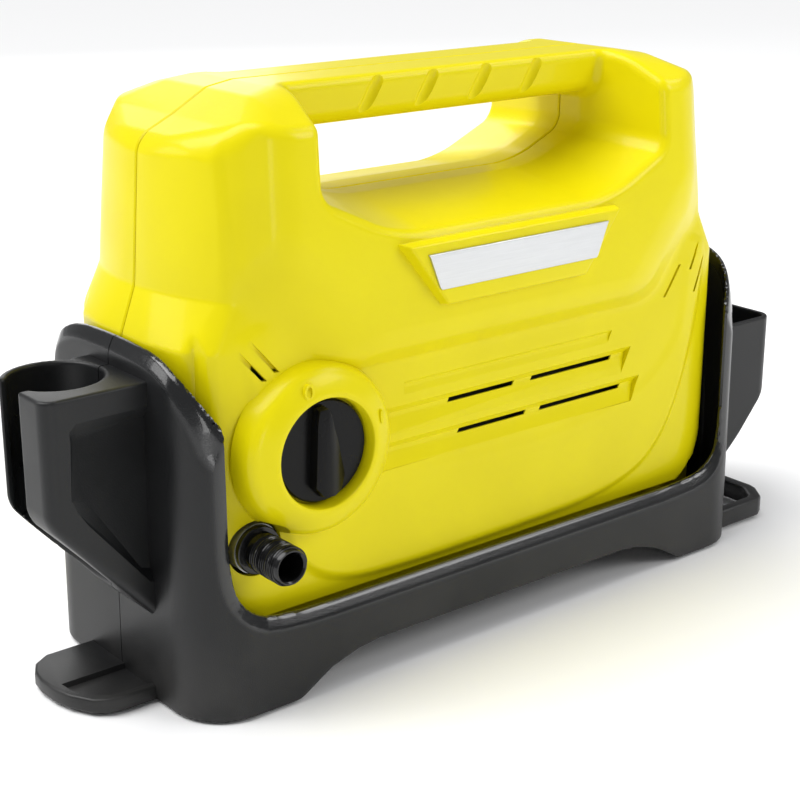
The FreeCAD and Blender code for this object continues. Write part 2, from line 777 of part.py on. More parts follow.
BRUSH_SPAN = (71.5, 78)
BRUSH_ZONE = ("motor_height - 3.2", "motor_height + 3.2")
holders = []
brushes = []
for name, side in (("front", -1), ("rear", 1)):
    box_y = sorted((side * 15, side * 41))
    carbon_y = sorted((side * 13.3, side * 27))
    holder_body = block(name + "_holder", (69.5, 80), box_y, ("motor_height - 5", "motor_height + 5"))
    holder_hole = block(name + "_holder_hole", BRUSH_SPAN, (side * 28 - 20, side * 28 + 20), BRUSH_ZONE)
    holders.append(cut(name + "_holder_carved", holder_body, holder_hole))
    brushes.append(block(name + "_brush", BRUSH_SPAN, carbon_y, BRUSH_ZONE))
keep("brush_holders", group("holder_pair", holders))
keep("carbon_brushes", group("brush_pair", brushes))

# Fan: hub, back plate and radial blades, drawn about its own axis then placed ----------
BLADE_COUNT = 11
fan_parts = [
    rod("fan_hub", "9", "12", ("0", "0", "0"), "+Z"),
    rod("fan_plate", "36", "2", ("0", "0", "0"), "+Z"),
]
for index in range(BLADE_COUNT):
    blade = doc.addObject("Part::Box", f"fan_blade{index}")
    blade.Length = 28
    blade.Width = 1.6
    blade.Height = 9.5
    turn = FreeCAD.Rotation(FreeCAD.Vector(0, 0, 1), 360 * index / BLADE_COUNT)
    blade.Placement = FreeCAD.Placement(turn.multVec(FreeCAD.Vector(7.5, -0.8, 1.5)), turn)
    fan_parts.append(blade)
fan_bore = rod("fan_bore", "shaft_radius", "20", ("0", "0", "-2"), "+Z")
fan = cut("fan_bored", fuse("fan_joined", *fan_parts), fan_bore)
keep("cooling_fan", put(fan, ("84", "0", "motor_height"), "+X"))


# Gears: involute teeth about X, in mesh on the line between the two axes ----------------
def involute(angle):
    return math.tan(angle) - angle


PRESSURE = math.radians(20)


def gear(name, teeth, first_tooth, bore, start, end, centre_height, addendum):
    """Spur gear; first_tooth is the angle of a tooth's middle, from +Y towards +Z."""
    module = value("tooth_module")
    pitch = module * teeth / 2
    base = pitch * math.cos(PRESSURE)
    tip = pitch + addendum * module
    root = pitch - 1.2 * module
    half_pitch = math.pi / (2 * teeth) - value("tooth_backlash") / (2 * pitch)
    flank = []
    for step in range(5):
        radius = max(base, root) + (tip - max(base, root)) * step / 4
        half = half_pitch + involute(PRESSURE) - involute(math.acos(min(1, base / radius)))
        flank.append((radius, half))
    inner_half = flank[0][1] - (0.1 / root if base > root else 0)
    profile = [(root, -inner_half)] + [(r, -h) for r, h in flank]
    profile += [(r, h) for r, h in reversed(flank)] + [(root, inner_half)]
    corners = []
    for tooth in range(teeth):
        middle = first_tooth + 2 * math.pi * tooth / teeth
        for radius, offset in profile:
            angle = middle + offset
            corners.append(FreeCAD.Vector(0, radius * math.cos(angle), radius * math.sin(angle)))
    corners.append(corners[0])
    toothed = Part.Face(Part.makePolygon(corners)).extrude(FreeCAD.Vector(end - start, 0, 0))
    hole = Part.makeCylinder(bore, end - start, FreeCAD.Vector(), FreeCAD.Vector(1, 0, 0))
    wheel = doc.addObject("Part::Feature", name + "_teeth")
    wheel.Shape = toothed.cut(hole)
    wheel.Placement = FreeCAD.Placement(FreeCAD.Vector(start, 0, centre_height), FreeCAD.Rotation())
    return wheel


PINION_ANGLE = -math.pi / 2
WHEEL_ANGLE = math.pi / 2 + math.pi / DIMENSIONS["wheel_teeth"]
GEAR_SPAN = (-54, -42)
keep("pinion", gear("pinion", DIMENSIONS["pinion_teeth"], PINION_ANGLE, value("shaft_radius"),
                    *GEAR_SPAN, value("motor_height"), 0.95))
keep("gear_wheel", gear("gear_wheel", DIMENSIONS["wheel_teeth"], WHEEL_ANGLE, 5,
                        *GEAR_SPAN, value("pump_height"), 0.8))
keep("pump_shaft", on_pump("pump_rod", "5", "-112", "-31.5"))

# Swash plate: a wedge that turns with the gear wheel and pushes the pistons ------------
SWASH_FACE = -72
SWASH_HALF = 30
slope = f"{SWASH_HALF} * tan(swash_tilt * 1deg)"


def swash_slab(name, near, far_low, far_high):
    points = [
        (near[0], f"pump_height - {SWASH_HALF}"),
        (near[1], f"pump_height + {SWASH_HALF}"),
        (far_high, f"pump_height + {SWASH_HALF}"),
        (far_low, f"pump_height - {SWASH_HALF}"),
    ]
    return prism(name, "XZ", points, f"-{SWASH_HALF}", f"{SWASH_HALF}")


wedge = swash_slab("swash_wedge", (f"{SWASH_FACE} + {slope}", f"{SWASH_FACE} - {slope}"), "-54", "-54")
swash_disc = cut("swash_disc", on_pump("swash_rim", "24", "-90", "-54"),
                 on_pump("swash_bore", "5", "-91", "-53"))
keep("swash_plate", common("swash_cut", swash_disc, wedge))
race = swash_slab(
    "race_slab",
    (f"{SWASH_FACE} - 3.5 + {slope}", f"{SWASH_FACE} - 3.5 - {slope}"),
    f"{SWASH_FACE} + {slope}",
    f"{SWASH_FACE} - {slope}",
)
race_ring = cut("race_ring", on_pump("race_rim", "23", "-90", "-54"), on_pump("race_eye", "9", "-91", "-53"))
keep("thrust_bearing", common("race_cut", race_ring, race))

# Gearbox, cylinder block, pump head and valves -----------------------------------------
gearbox_solid = fuse(
    "gearbox_solid",
    on_pump("gearbox_drum", "gearbox_radius", "-104", "-30"),
    on_motor("gearbox_neck", "20", "-60", "-30"),
)
keep("gearbox_housing", cut(
    "gearbox_carved",
    gearbox_solid,
    on_pump("gearbox_room", "gearbox_radius - 3", "-105", "-36"),
    on_motor("pinion_room", "17", "-57", "-36"),
    on_motor("gearbox_shaft_hole", "shaft_radius + 1.5", "-37", "-29"),
    on_pump("gearbox_bush", "5 + running_gap", "-37", "-31"),
))
PISTON_ANGLES = (90, 210, 330)
block_tools = [on_pump("block_centre", "5 + running_gap", "-113", "-103")]
head_tools = []
seals = []
for index, angle in enumerate(PISTON_ANGLES, start=1):
    bore_radius = "piston_radius + running_gap"
    block_tools.append(on_pump(f"cylinder_bore{index}", bore_radius, "-131", "-103", angle))
    block_tools.append(on_pump(f"seal_seat{index}", "8.5", "-131", "-125", angle))
    head_tools.append(on_pump(f"chamber{index}", "7", "-136.3", "-129", angle))
    seal_rim = on_pump(f"seal_rim{index}", "8.5", "-130", "-125", angle)
    seal_eye = on_pump(f"seal_eye{index}", bore_radius, "-131", "-124", angle)
    seals.append(cut(f"seal{index}", seal_rim, seal_eye))
SCREW_ANGLES = (20, 160, 250, 290)
SCREW_CIRCLE = "29.5"
head_screws = []
for index, angle in enumerate(SCREW_ANGLES):
    block_tools.append(on_pump(f"block_thread{index}", "screw_radius", "-131", "-110", angle, SCREW_CIRCLE))
    head_tools.append(on_pump(f"head_way{index}", "screw_radius", "-167", "-129", angle, SCREW_CIRCLE))
    head = on_pump(f"head_screw_cap{index}", "3.5", "-170", "-167", angle, SCREW_CIRCLE)
    shank = on_pump(f"head_screw_shank{index}", "screw_radius", "-168", "-110", angle, SCREW_CIRCLE)
    head_screws.append(fuse(f"head_screw{index}", head, shank))
keep("cylinder_block", cut("block_bored", on_pump("block_drum", "gearbox_radius", "-130", "-104"),
                           *block_tools))
keep("piston_seals", group("seal_set", seals))
VALVE_CIRCLE = "18"
valves = []
for index in range(6):
    angle = 30 + 60 * index
    head_tools.append(on_pump(f"valve_pocket{index}", "4.6", "-167", "-156", angle, VALVE_CIRCLE))
    valves.append(on_pump(f"valve{index}", "4.2", "-163", "-156", angle, VALVE_CIRCLE))
keep("check_valves", group("valve_set", valves))
head_tools += [
    rod("outlet_way", "outlet_bore", "60", ("outlet_across", "-6", "outlet_height"), "-Y"),
    rod("inlet_way", "inlet_bore", "30", ("outlet_across", "34", "pump_height"), "+Y"),
    rod("plunger_way", "3 + running_gap", "16", ("-147", "0", "114"), "+Z"),
]
keep("pump_head", cut(
    "head_bored",
    fuse(
        "head_solid",
        on_pump("head_drum", "gearbox_radius - 2", "-166", "-130"),
        rod("outlet_boss", "12", "40", ("outlet_across", "-20", "outlet_height"), "-Y"),
        rod("inlet_boss", "14", "40", ("outlet_across", "20", "pump_height"), "+Y"),
    ),
    *head_tools,
))
cover_holes = []
for index, angle in enumerate(SCREW_ANGLES):
    cover_holes.append(on_pump(f"cover_sink{index}", "3.5", "-171", "-167", angle, SCREW_CIRCLE))
    cover_holes.append(on_pump(f"cover_hole{index}", "screw_radius", "-168", "-165", angle, SCREW_CIRCLE))
keep("valve_cover", cut("cover_bored", on_pump("cover_disc", "gearbox_radius - 2", "-170", "-166"),
                        *cover_holes))
keep("head_screws", group("head_screw_set", head_screws))

# Pistons and their return springs -------------------------------------------------------
for index, angle in enumerate(PISTON_ANGLES, start=1):
    stem = on_pump(f"piston_stem{index}", "piston_radius", "-131", "-80", angle)
    collar = on_pump(f"piston_collar{index}", "9.2", "-87", "-84", angle)
    keep(f"piston_{index}", fuse(f"piston_joined{index}", stem, collar))
    path = doc.addObject("Part::Helix", f"spring_path{index}")
    path.Radius = 7.8
    path.Pitch = 3.08
    path.Height = 15.4
    wire = doc.addObject("Part::Circle", f"spring_wire{index}")
    wire.Radius = 0.75
    wire.Placement = FreeCAD.Placement(FreeCAD.Vector(7.8, 0, 0), ALONG["-Y"])
    coil = doc.addObject("Part::Sweep", f"spring_coil{index}")
    coil.Sections = [wire]
    coil.Spine = (path, ["Edge1"])
    coil.Solid = True
    coil.Frenet = True
    depth = f"piston_circle * {math.cos(math.radians(angle)):.6f}"
    height = f"pump_height + piston_circle * {math.sin(math.radians(angle)):.6f}"
    keep(f"piston_spring_{index}", put(coil, ("-103.2", depth, height), "+X"))

# Water and cord connections -------------------------------------------------------------
def spigot(name, outer_radius, bore_radius, flange, height, side, along):
    """A threaded stub on the pump head, with a flange at its root."""
    start = ("outlet_across", f"{side} * 60", height)
    neck = rod(name + "_neck", outer_radius, "connection_reach - 60", start, along)
    foot = rod(name + "_flange", flange, "3", start, along)
    bore = rod(name + "_bore", bore_radius, "connection_reach - 59", start, along)
    return cut(name, fuse(name + "_solid", neck, foot), bore)


keep("outlet_stub", spigot("outlet", "outlet_radius", "outlet_bore", "11.6", "outlet_height", -1, "-Y"))
keep("inlet_stub", spigot("inlet", "inlet_radius", "inlet_bore", "14", "pump_height", 1, "+Y"))
strainer_wall = tube("strainer_wall", "inlet_bore - 0.1", "inlet_bore - 1.1", "14",
                     ("outlet_across", "68", "pump_height"), "+Y")
strainer_end = rod("strainer_end", "inlet_bore - 0.1", "1.2", ("outlet_across", "67", "pump_height"), "+Y")
keep("inlet_strainer", fuse("strainer_joined", strainer_wall, strainer_end))
GLAND = ("132", "62")
gland_solid = fuse(
    "gland_solid",
    rod("gland_flange", "11", "3.2", (GLAND[0], "55.5", GLAND[1]), "+Y"),
    rod("gland_neck", "7.8", "8", (GLAND[0], "56", GLAND[1]), "+Y"),
    cone("gland_sleeve", "10.5", "7", "17", (GLAND[0], "62.4", GLAND[1]), "+Y"),
)
gland_bore = rod("gland_bore", "4.2", "40", (GLAND[0], "50", GLAND[1]), "+Y")
keep("cord_gland", cut("gland_carved", gland_solid, gland_bore))

# Pressure switch: its plunger rises out of the pump head --------------------------------
switch_case = block("pressure_case", (-160, -134), (-13, 13), (120, 146))
keep("pressure_switch", cut(
    "pressure_carved",
    switch_case,
    on_pump("pressure_saddle", "gearbox_radius - 2", "-170", "-130"),
    on_pump("pressure_step", "gearbox_radius", "-135", "-130"),
    rod("plunger_room", "3.3", "14", ("-147", "0", "119"), "+Z"),
))
keep("switch_plunger", rod("plunger", "3", "13.5", ("-147", "0", "116"), "+Z"))

# Electrical pieces and the supports under the drive --------------------------------------
FLOOR_TOP = "casing_floor + wall"
keep("capacitor", block("capacitor_can", (104, 136), (-16, 4), (FLOOR_TOP, "casing_floor + 21")))
terminal_box = block("terminal_box", (104, 138), (14, 32), (FLOOR_TOP, "casing_floor + 18"))
terminal_ways = [
    rod(f"terminal_way{index}", "2.4", "14", (109 + 8 * index, "18", "casing_floor + 10"), "+Y")
    for index in range(4)
]
keep("terminal_block", cut("terminal_carved", terminal_box, *terminal_ways))


def saddle(name, xs, top, drum, drum_radius):
    """A support cut to the round housing above it, and the rubber that lines it."""
    body = block(name + "_body", xs, (-30, 30), (FLOOR_TOP, top))
    clear = drum(name + "_clear", f"{drum_radius} + 3", f"{xs[0]} - 1", f"{xs[1]} + 1")
    lining = cut(name + "_lining", drum(name + "_lining_rim", f"{drum_radius} + 3", xs[0], xs[1]),
                 drum(name + "_lining_eye", drum_radius, f"{xs[0]} - 1", f"{xs[1]} + 1"))
    reach = block(name + "_reach", xs, (-30, 30), (FLOOR_TOP, top))
    return cut(name, body, clear), common(name + "_liner", lining, reach)


pump_saddle, pump_liner = saddle("pump_saddle", ("-92", "-72"), "78", on_pump, "gearbox_radius")
motor_saddle, motor_liner = saddle("motor_saddle", ("14", "54"), "96", on_motor, "motor_radius")
keep("drive_saddles", group("saddle_pair", [pump_saddle, motor_saddle]))
keep("saddle_liners", group("liner_pair", [pump_liner, motor_liner]))

# Screws ------------------------------------------------------------------------------------
casing_screws = []
for index, (across, height) in enumerate(SCREW_PLACES):
    cap = rod(f"casing_screw_cap{index}", "4", "3", (across, "11", height), "+Y")
    shank = rod(f"casing_screw_shank{index}", "screw_radius", "27", (across, "-15", height), "+Y")
    casing_screws.append(fuse(f"casing_screw{index}", cap, shank))
keep("shell_screws", group("casing_screw_set", casing_screws))
floor_screws = []
for index, (across, depth) in enumerate(FLOOR_SCREWS):
    cap = rod(f"floor_screw_cap{index}", "3.8", "2.2", (across, depth, "16.3"), "+Z")
    shank = rod(f"floor_screw_shank{index}", "screw_radius", "17", (across, depth, "17"), "+Z")
    floor_screws.append(fuse(f"floor_screw{index}", cap, shank))
keep("cradle_screws", group("floor_screw_set", floor_screws))

# Check and write ------------------------------------------------------------------------------
doc.recompute()
for obj in doc.Objects:
    broken = [word for word in ("Invalid", "Error") if word in obj.State]
    if broken:
        raise SystemExit(f"{obj.Name} is {broken[0]}")
os.makedirs("parts", exist_ok=True)
for old in os.listdir("parts"):
    os.remove(os.path.join("parts", old))
for name, obj in NODES.items():
    shape = obj.Shape
    if shape.isNull() or not shape.isValid() or not shape.Solids:
        raise SystemExit(f"{name} has no valid solid")
    shape.exportStep(f"parts/{name}.step")
print(len(NODES), "nodes written")
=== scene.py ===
from math import cos, pi, radians, sin

import bmesh
import bpy
import numpy as np
from mathutils import Matrix, Vector


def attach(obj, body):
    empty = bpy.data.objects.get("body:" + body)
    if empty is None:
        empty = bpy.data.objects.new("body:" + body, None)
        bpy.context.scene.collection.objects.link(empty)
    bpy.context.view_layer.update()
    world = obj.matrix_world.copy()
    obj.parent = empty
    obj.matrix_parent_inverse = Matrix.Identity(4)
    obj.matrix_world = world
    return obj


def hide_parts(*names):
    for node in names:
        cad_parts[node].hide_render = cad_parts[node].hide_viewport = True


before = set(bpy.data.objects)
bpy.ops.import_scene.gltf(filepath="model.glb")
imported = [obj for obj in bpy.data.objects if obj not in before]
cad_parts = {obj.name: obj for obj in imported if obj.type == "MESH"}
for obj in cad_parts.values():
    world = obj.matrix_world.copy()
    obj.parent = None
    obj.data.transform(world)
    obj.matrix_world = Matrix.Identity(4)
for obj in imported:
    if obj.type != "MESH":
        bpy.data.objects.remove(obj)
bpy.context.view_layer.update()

MM = 0.001


# Studio: a pale seamless floor, a big soft light from the upper left and back, a weak one
# from the front, and a long lens looking down at the machine's left front corner.
def link(obj):
    bpy.context.scene.collection.objects.link(obj)
    return obj


camera = link(bpy.data.objects.new("camera", bpy.data.cameras.new("camera")))
camera.location = (-0.5384, -0.6509, 0.3854)
camera.rotation_euler = (radians(71.5), 0, radians(-39))
camera.data.sensor_width = 36
camera.data.lens = 76.05
bpy.context.scene.camera = camera

FLOOR_HALF = 60.0
floor_mesh = bpy.data.meshes.new("floor")
floor_corners = [(-1, -1), (1, -1), (1, 1), (-1, 1)]
floor_mesh.from_pydata([(FLOOR_HALF * x, FLOOR_HALF * y, 0) for x, y in floor_corners], [], [(0, 1, 2, 3)])
floor = link(bpy.data.objects.new("floor", floor_mesh))
floor_paint = bpy.data.materials.new("floor_paint")
floor_paint.use_nodes = True
floor_shader = floor_paint.node_tree.nodes["Principled BSDF"]
floor_shader.inputs["Base Color"].default_value = (0.93, 0.93, 0.93, 1)
floor_shader.inputs["Roughness"].default_value = 0.55
floor_mesh.materials.append(floor_paint)

for name, place, aim, size, power in (
    ("key_light", (-1.0, 0.7, 1.6), (0, 0, 0.1), 0.9, 4),
    ("front_light", (1.1, -1.5, 1.2), (0, 0, 0.14), 0.9, 15.5),
    ("end_light", (-1.7, 1.1, 0.9), (-0.1, 0, 0.14), 0.7, 5),
    ("rim_light", (-0.9, -1.5, 0.25), (-0.1, 0, 0.1), 0.35, 1.6),
    ("edge_light", (1.25, -0.55, 1.55), (0, 0, 0.1), 0.6, 5),
    ("rear_light", (0.7, 1.9, 1.0), (0, 0, 0.12), 1.0, 7),
):
    lamp = bpy.data.lights.new(name, "AREA")
    lamp.size = size
    lamp.energy = power
    light = link(bpy.data.objects.new(name, lamp))
    light.location = place
    light.rotation_euler = (Vector(aim) - Vector(place)).to_track_quat("-Z", "Y").to_euler()

daylight = bpy.data.lights.new("overhead_light", "SUN")
daylight.energy = 2.9
daylight.angle = radians(50)
overhead = link(bpy.data.objects.new("overhead_light", daylight))
overhead.rotation_euler = Vector((0.45, -0.25, -1)).to_track_quat("-Z", "Y").to_euler()

world = bpy.data.worlds.new("studio")
world.use_nodes = True
world_nodes, world_wires = world.node_tree.nodes, world.node_tree.links
seen, shed = world_nodes["Background"], world_nodes.new("ShaderNodeBackground")
seen.inputs["Color"].default_value = (1, 1, 1, 1)
shed.inputs["Color"].default_value = (0.97, 0.98, 1, 1)
shed.inputs["Strength"].default_value = 0.27
ray, choice = world_nodes.new("ShaderNodeLightPath"), world_nodes.new("ShaderNodeMixShader")
world_wires.new(ray.outputs["Is Camera Ray"], choice.inputs["Fac"])
world_wires.new(shed.outputs["Background"], choice.inputs[1])
world_wires.new(seen.outputs["Background"], choice.inputs[2])
world_wires.new(choice.outputs["Shader"], world_nodes["World Output"].inputs["Surface"])
bpy.context.scene.world = world
bpy.context.scene.view_settings.view_transform = "Standard"


# Casing: two injection-moulded shells in gloss lemon plastic, screwed together from behind.
# The form is worked out in millimetres as planes rounded into each other; out is the distance
# from the seam, the same way for both halves, and each half is skinned from that form.
def over(first, second, radius):
    """Keep what both forms hold, with the edge between them rounded."""
    corner = np.hypot(np.maximum(first + radius, 0), np.maximum(second + radius, 0))
    return np.minimum(np.maximum(first, second), -radius) + corner


def join(first, second, radius):
    """Keep what either form holds, with the corner between them filled to a radius."""
    return -over(-first, -second, radius)


def facet(first, second, third, across, out, up):
    """Distance beyond the plane through three points, outward from the seam."""
    first, second, third = (np.array(point, float) for point in (first, second, third))
    normal = np.cross(second - first, third - first)
    normal /= np.linalg.norm(normal) * (1 if normal[1] > 0 else -1)
    return (across - first[0]) * normal[0] + (out - first[1]) * normal[1] + (up - first[2]) * normal[2]


def outline_distance(points, across, up):
    """Distance outside a closed outline, negative inside it."""
    nearest = None
    crossed = None
    for (x0, z0), (x1, z1) in zip(points, points[1:] + points[:1]):
        run, rise = x1 - x0, z1 - z0
        share = np.clip(((across - x0) * run + (up - z0) * rise) / (run * run + rise * rise), 0, 1)
        gap = np.hypot(across - x0 - share * run, up - z0 - share * rise)
        nearest = gap if nearest is None else np.minimum(nearest, gap)
        passes = ((z0 > up) != (z1 > up)) & (across < x0 + (up - z0) * run / (rise or 1e-9))
        crossed = passes if crossed is None else crossed ^ passes
    return np.where(crossed, -nearest, nearest)


def softened(points, rounds=2):
    """Round an outline by cutting its corners off, again and again."""
    spots = np.array(points, float)
    for _ in range(rounds):
        after = np.roll(spots, -1, axis=0)
        spots = np.stack([0.75 * spots + 0.25 * after, 0.25 * spots + 0.75 * after], 1).reshape(-1, 2)
    return [tuple(spot) for spot in spots.tolist()]


def ease(share):
    share = np.clip(share, 0, 1)
    return share * share * (3 - 2 * share)


SEAM_LEVELS = (22, 171, 192.7, 258.5, 300)
LOW_PANEL = softened([
    (-134, 128), (-130, 92), (-119, 66), (-98, 52), (-65, 48.5), (14, 49), (73, 51), (106, 60),
    (124, 78), (136, 110), (147, 150), (150, 190), (-150, 190), (-142, 150),
])
LEDGE = softened([
    (-100, 100), (-56, 98), (-20, 94.5), (23, 93), (66, 96), (92, 101.5), (111, 109), (126, 124),
    (133, 140), (137, 190), (-100, 190),
])
PANEL_EDGE = [
    (-162, 400), (-162, 66), (-156, 53), (-141, 42), (141, 42), (156, 53), (162, 66), (162, 400),
]


def casing_form(x, y, z):
    across, out = np.abs(x), np.abs(y)
    side = across - np.interp(z, SEAM_LEVELS, (174, 174, 166, 161, 157.8))
    shoulder = 0.9 * (z - np.interp(across, (0, 110, 124, 143, 161, 180), (280, 280, 277.6, 267, 258.5, 249.5)))
    profile = over(over(side, shoulder, 6), 22 - z, 2)
    end_at = np.interp(z, SEAM_LEVELS, (174, 174, 166, 161, 158))
    end_out = np.interp(z, SEAM_LEVELS, (36, 36, 28, 26, 25))
    profile = over(profile, 0.899 * (across - end_at) + 0.437 * (out - end_out), 9)

    relief = 2.6 * ease(outline_distance(LOW_PANEL, x, z) / 6)
    relief = relief + 0.8 * ease(0.5 - outline_distance(LEDGE, x, z) / 7)
    relief = relief + 15 * ease(outline_distance(PANEL_EDGE, x, z) / 3)
    panel = over(out - 61.2 - (z - 22) * 0.0268 + relief, out - 65.2 + 0.2 * (z - 171), 8)
    near_at = np.interp(z, SEAM_LEVELS, (165, 165, 155, 150, 148))
    low = over(panel, 0.447 * (across - near_at) + 0.894 * (out - 54.5), 7)

    belly = out - 74.4 + (z - 165) * 0.0873
    belly = over(belly, 0.771 * (out - 74.4) - 0.636 * (z - 165), 5)
    belly = over(belly, facet((88, 74.4, 165), (129, 70.3, 212), (143, 60, 191.5), across, out, z), 5)
    belly = over(belly, facet((129, 70.3, 212), (127, 65.5, 267), (153, 53, 205), across, out, z), 5)
    body = join(low, belly, 2)
    body = over(body, facet((0, 65.5, 266), (127, 65.5, 266), (0, 42, 278), across, out, z), 4)
    body = over(profile, body, 5)

    flare = np.maximum(out - 15, 0)
    room = over(across - 98 - 0.2 * flare, 222.5 - 0.164 * flare - z, 3)
    room = over(room, 0.425 * (across - 98) - 0.905 * (z - 238) - 0.163 * flare, 6)
    bar = over(257 - z + 0.05 * out, out - 27 + 0.12 * (280 - z), 8)
    return over(body, join(-room, bar, 4), 4.5)


def skin(name, form, xs, ys, zs):
    """Wrap a form in quads, one in each cell that its surface passes, in metres."""
    lines = [np.asarray(axis, float) for axis in (xs, ys, zs)]
    depth = np.asarray(form(*np.ix_(*lines)), np.float32)
    solid = depth < 0
    corners = [(i, j, k) for i in (0, 1) for j in (0, 1) for k in (0, 1)]
    size = np.array(solid.shape) - 1
    filled = np.zeros(size, np.int8)
    for i, j, k in corners:
        filled += solid[i:size[0] + i, j:size[1] + j, k:size[2] + k]
    mixed = (filled > 0) & (filled < 8)
    cells = np.argwhere(mixed)
    number = np.full(mixed.shape, -1)
    number[mixed] = np.arange(len(cells))

    total, hits = np.zeros((len(cells), 3)), np.zeros(len(cells))
    for corner in corners:
        for axis in range(3):
            if corner[axis]:
                continue
            start = cells + corner
            stop = start + np.eye(3, dtype=int)[axis]
            first, last = depth[tuple(start.T)], depth[tuple(stop.T)]
            met = (first < 0) != (last < 0)
            share = np.where(met, first / np.where(met, first - last, 1), 0)
            spot = np.stack([lines[n][start[:, n]] for n in range(3)], 1)
            spot[:, axis] += share * (lines[axis][stop[:, axis]] - spot[:, axis])
            total[met] += spot[met]
            hits += met
    points = total / hits[:, None]
    for _ in range(2):
        slope = np.stack([
            (form(*(points + step).T) - form(*(points - step).T)) / 0.1 for step in 0.05 * np.eye(3)
        ], 1)
        slope /= np.maximum((slope ** 2).sum(1), 0.2)[:, None]
        for _ in range(2):
            points -= np.clip(slope * form(*points.T)[:, None], -0.5, 0.5)

    quads = []
    for axis in range(3):
        wide, tall = (axis + 1) % 3, (axis + 2) % 3
        low = np.take(solid, range(size[axis]), axis)
        change = low != np.take(solid, range(1, size[axis] + 1), axis)
        spots = np.argwhere(change)
        fits = (spots[:, wide] > 0) & (spots[:, tall] > 0)
        fits &= (spots[:, wide] < size[wide]) & (spots[:, tall] < size[tall])
        spots = spots[fits]
        step_wide, step_tall = np.eye(3, dtype=int)[wide], np.eye(3, dtype=int)[tall]
        ring = [spots - step_wide - step_tall, spots - step_tall, spots, spots - step_wide]
        faces = np.stack([number[tuple(cell.T)] for cell in ring], 1)
        inward = ~low[tuple(spots.T)]
        faces[inward] = faces[inward][:, ::-1]
        quads.append(faces)
    mesh = bpy.data.meshes.new(name)
    mesh.from_pydata((points * MM).tolist(), [], np.concatenate(quads).tolist())
    return link(bpy.data.objects.new(name, mesh))


def one_side(form, side):
    """The form's front or rear half, running a little past the seam."""
    return lambda x, y, z: np.maximum(form(x, y, z), -side * y - 1.1)


def steps(start, stop, cell):
    return np.linspace(start, stop, int(abs(stop - start) / cell) + 1)


def plain(obj):
    """Turn a piece with modifiers into the mesh that it shows."""
    graph = bpy.context.evaluated_depsgraph_get()
    mesh = bpy.data.meshes.new_from_object(obj.evaluated_get(graph))
    obj.modifiers.clear()
    obj.data = mesh
    return obj


def carve(obj, tool, operation="DIFFERENCE"):
    """Cut a tool out of a piece, or add it, and throw the tool away."""
    change = obj.modifiers.new("carve", "BOOLEAN")
    change.operation = operation
    change.solver = "MANIFOLD"
    change.object = tool
    plain(obj)
    bpy.data.objects.remove(tool)
    return obj


def from_bmesh(name, work):
    bmesh.ops.recalc_face_normals(work, faces=work.faces)
    mesh = bpy.data.meshes.new(name)
    work.to_mesh(mesh)
    work.free()
    return link(bpy.data.objects.new(name, mesh))


def slab(name, outline, near, far, draft=0.0, plane="XZ"):
    """Prism of an outline between two depths, in millimetres; draft shrinks its far end."""
    work = bmesh.new()
    middle = np.mean(outline, axis=0)
    rings = []
    for depth, shrink in ((near, 0), (far, draft)):
        ring = []
        for a, b in outline:
            reach = Vector((a - middle[0], b - middle[1]))
            spot = reach * (1 - shrink / max(reach.length, 0.001)) + Vector(middle)
            places = {"XZ": (spot.x, depth, spot.y), "XY": (spot.x, spot.y, depth), "YZ": (depth, spot.x, spot.y)}
            ring.append(work.verts.new(Vector(places[plane]) * MM))
        rings.append(ring)
    work.faces.new(rings[0])
    work.faces.new(rings[1][::-1])
    count = len(outline)
    for index in range(count):
        after = (index + 1) % count
        work.faces.new((rings[0][index], rings[0][after], rings[1][after], rings[1][index]))
    return from_bmesh(name, work)


def turned(name, profile, centre, along=(0, -1, 0), sides=72):
    """Lathe a closed profile of (radius, height) points about a line, in millimetres."""
    work = bmesh.new()
    turn = Vector((0, 0, 1)).rotation_difference(Vector(along)).to_matrix()
    rings = []
    for radius, height in profile:
        ring = []
        for index in range(1 if radius == 0 else sides):
            angle = 2 * pi * index / sides
            spot = turn @ Vector((radius * cos(angle), radius * sin(angle), height))
            ring.append(work.verts.new((spot + Vector(centre)) * MM))
        rings.append(ring)
    for lower, upper in zip(rings, rings[1:] + rings[:1]):
        if len(lower) == 1 and len(upper) == 1:
            continue
        for index in range(sides):
            after = (index + 1) % sides
            loop = [lower[index % len(lower)], lower[after % len(lower)]]
            loop += [upper[after % len(upper)], upper[index % len(upper)]]
            work.faces.new(list(dict.fromkeys(loop)))
    return from_bmesh(name, work)


def crisp(obj, material, angle=32, bevel=0.0):
    """Smooth shading with sharp edges, a material, and a small bevel where it is asked for."""
    if bevel:
        edge = obj.modifiers.new("edge", "BEVEL")
        edge.width = bevel * MM
        edge.segments = 3
        edge.limit_method = "ANGLE"
        edge.angle_limit = radians(30)
        edge.harden_normals = False
        plain(obj)
    obj.data.materials.clear()
    obj.data.materials.append(material)
    obj.data.shade_smooth()
    obj.data.set_sharp_from_angle(angle=radians(angle))
    return obj


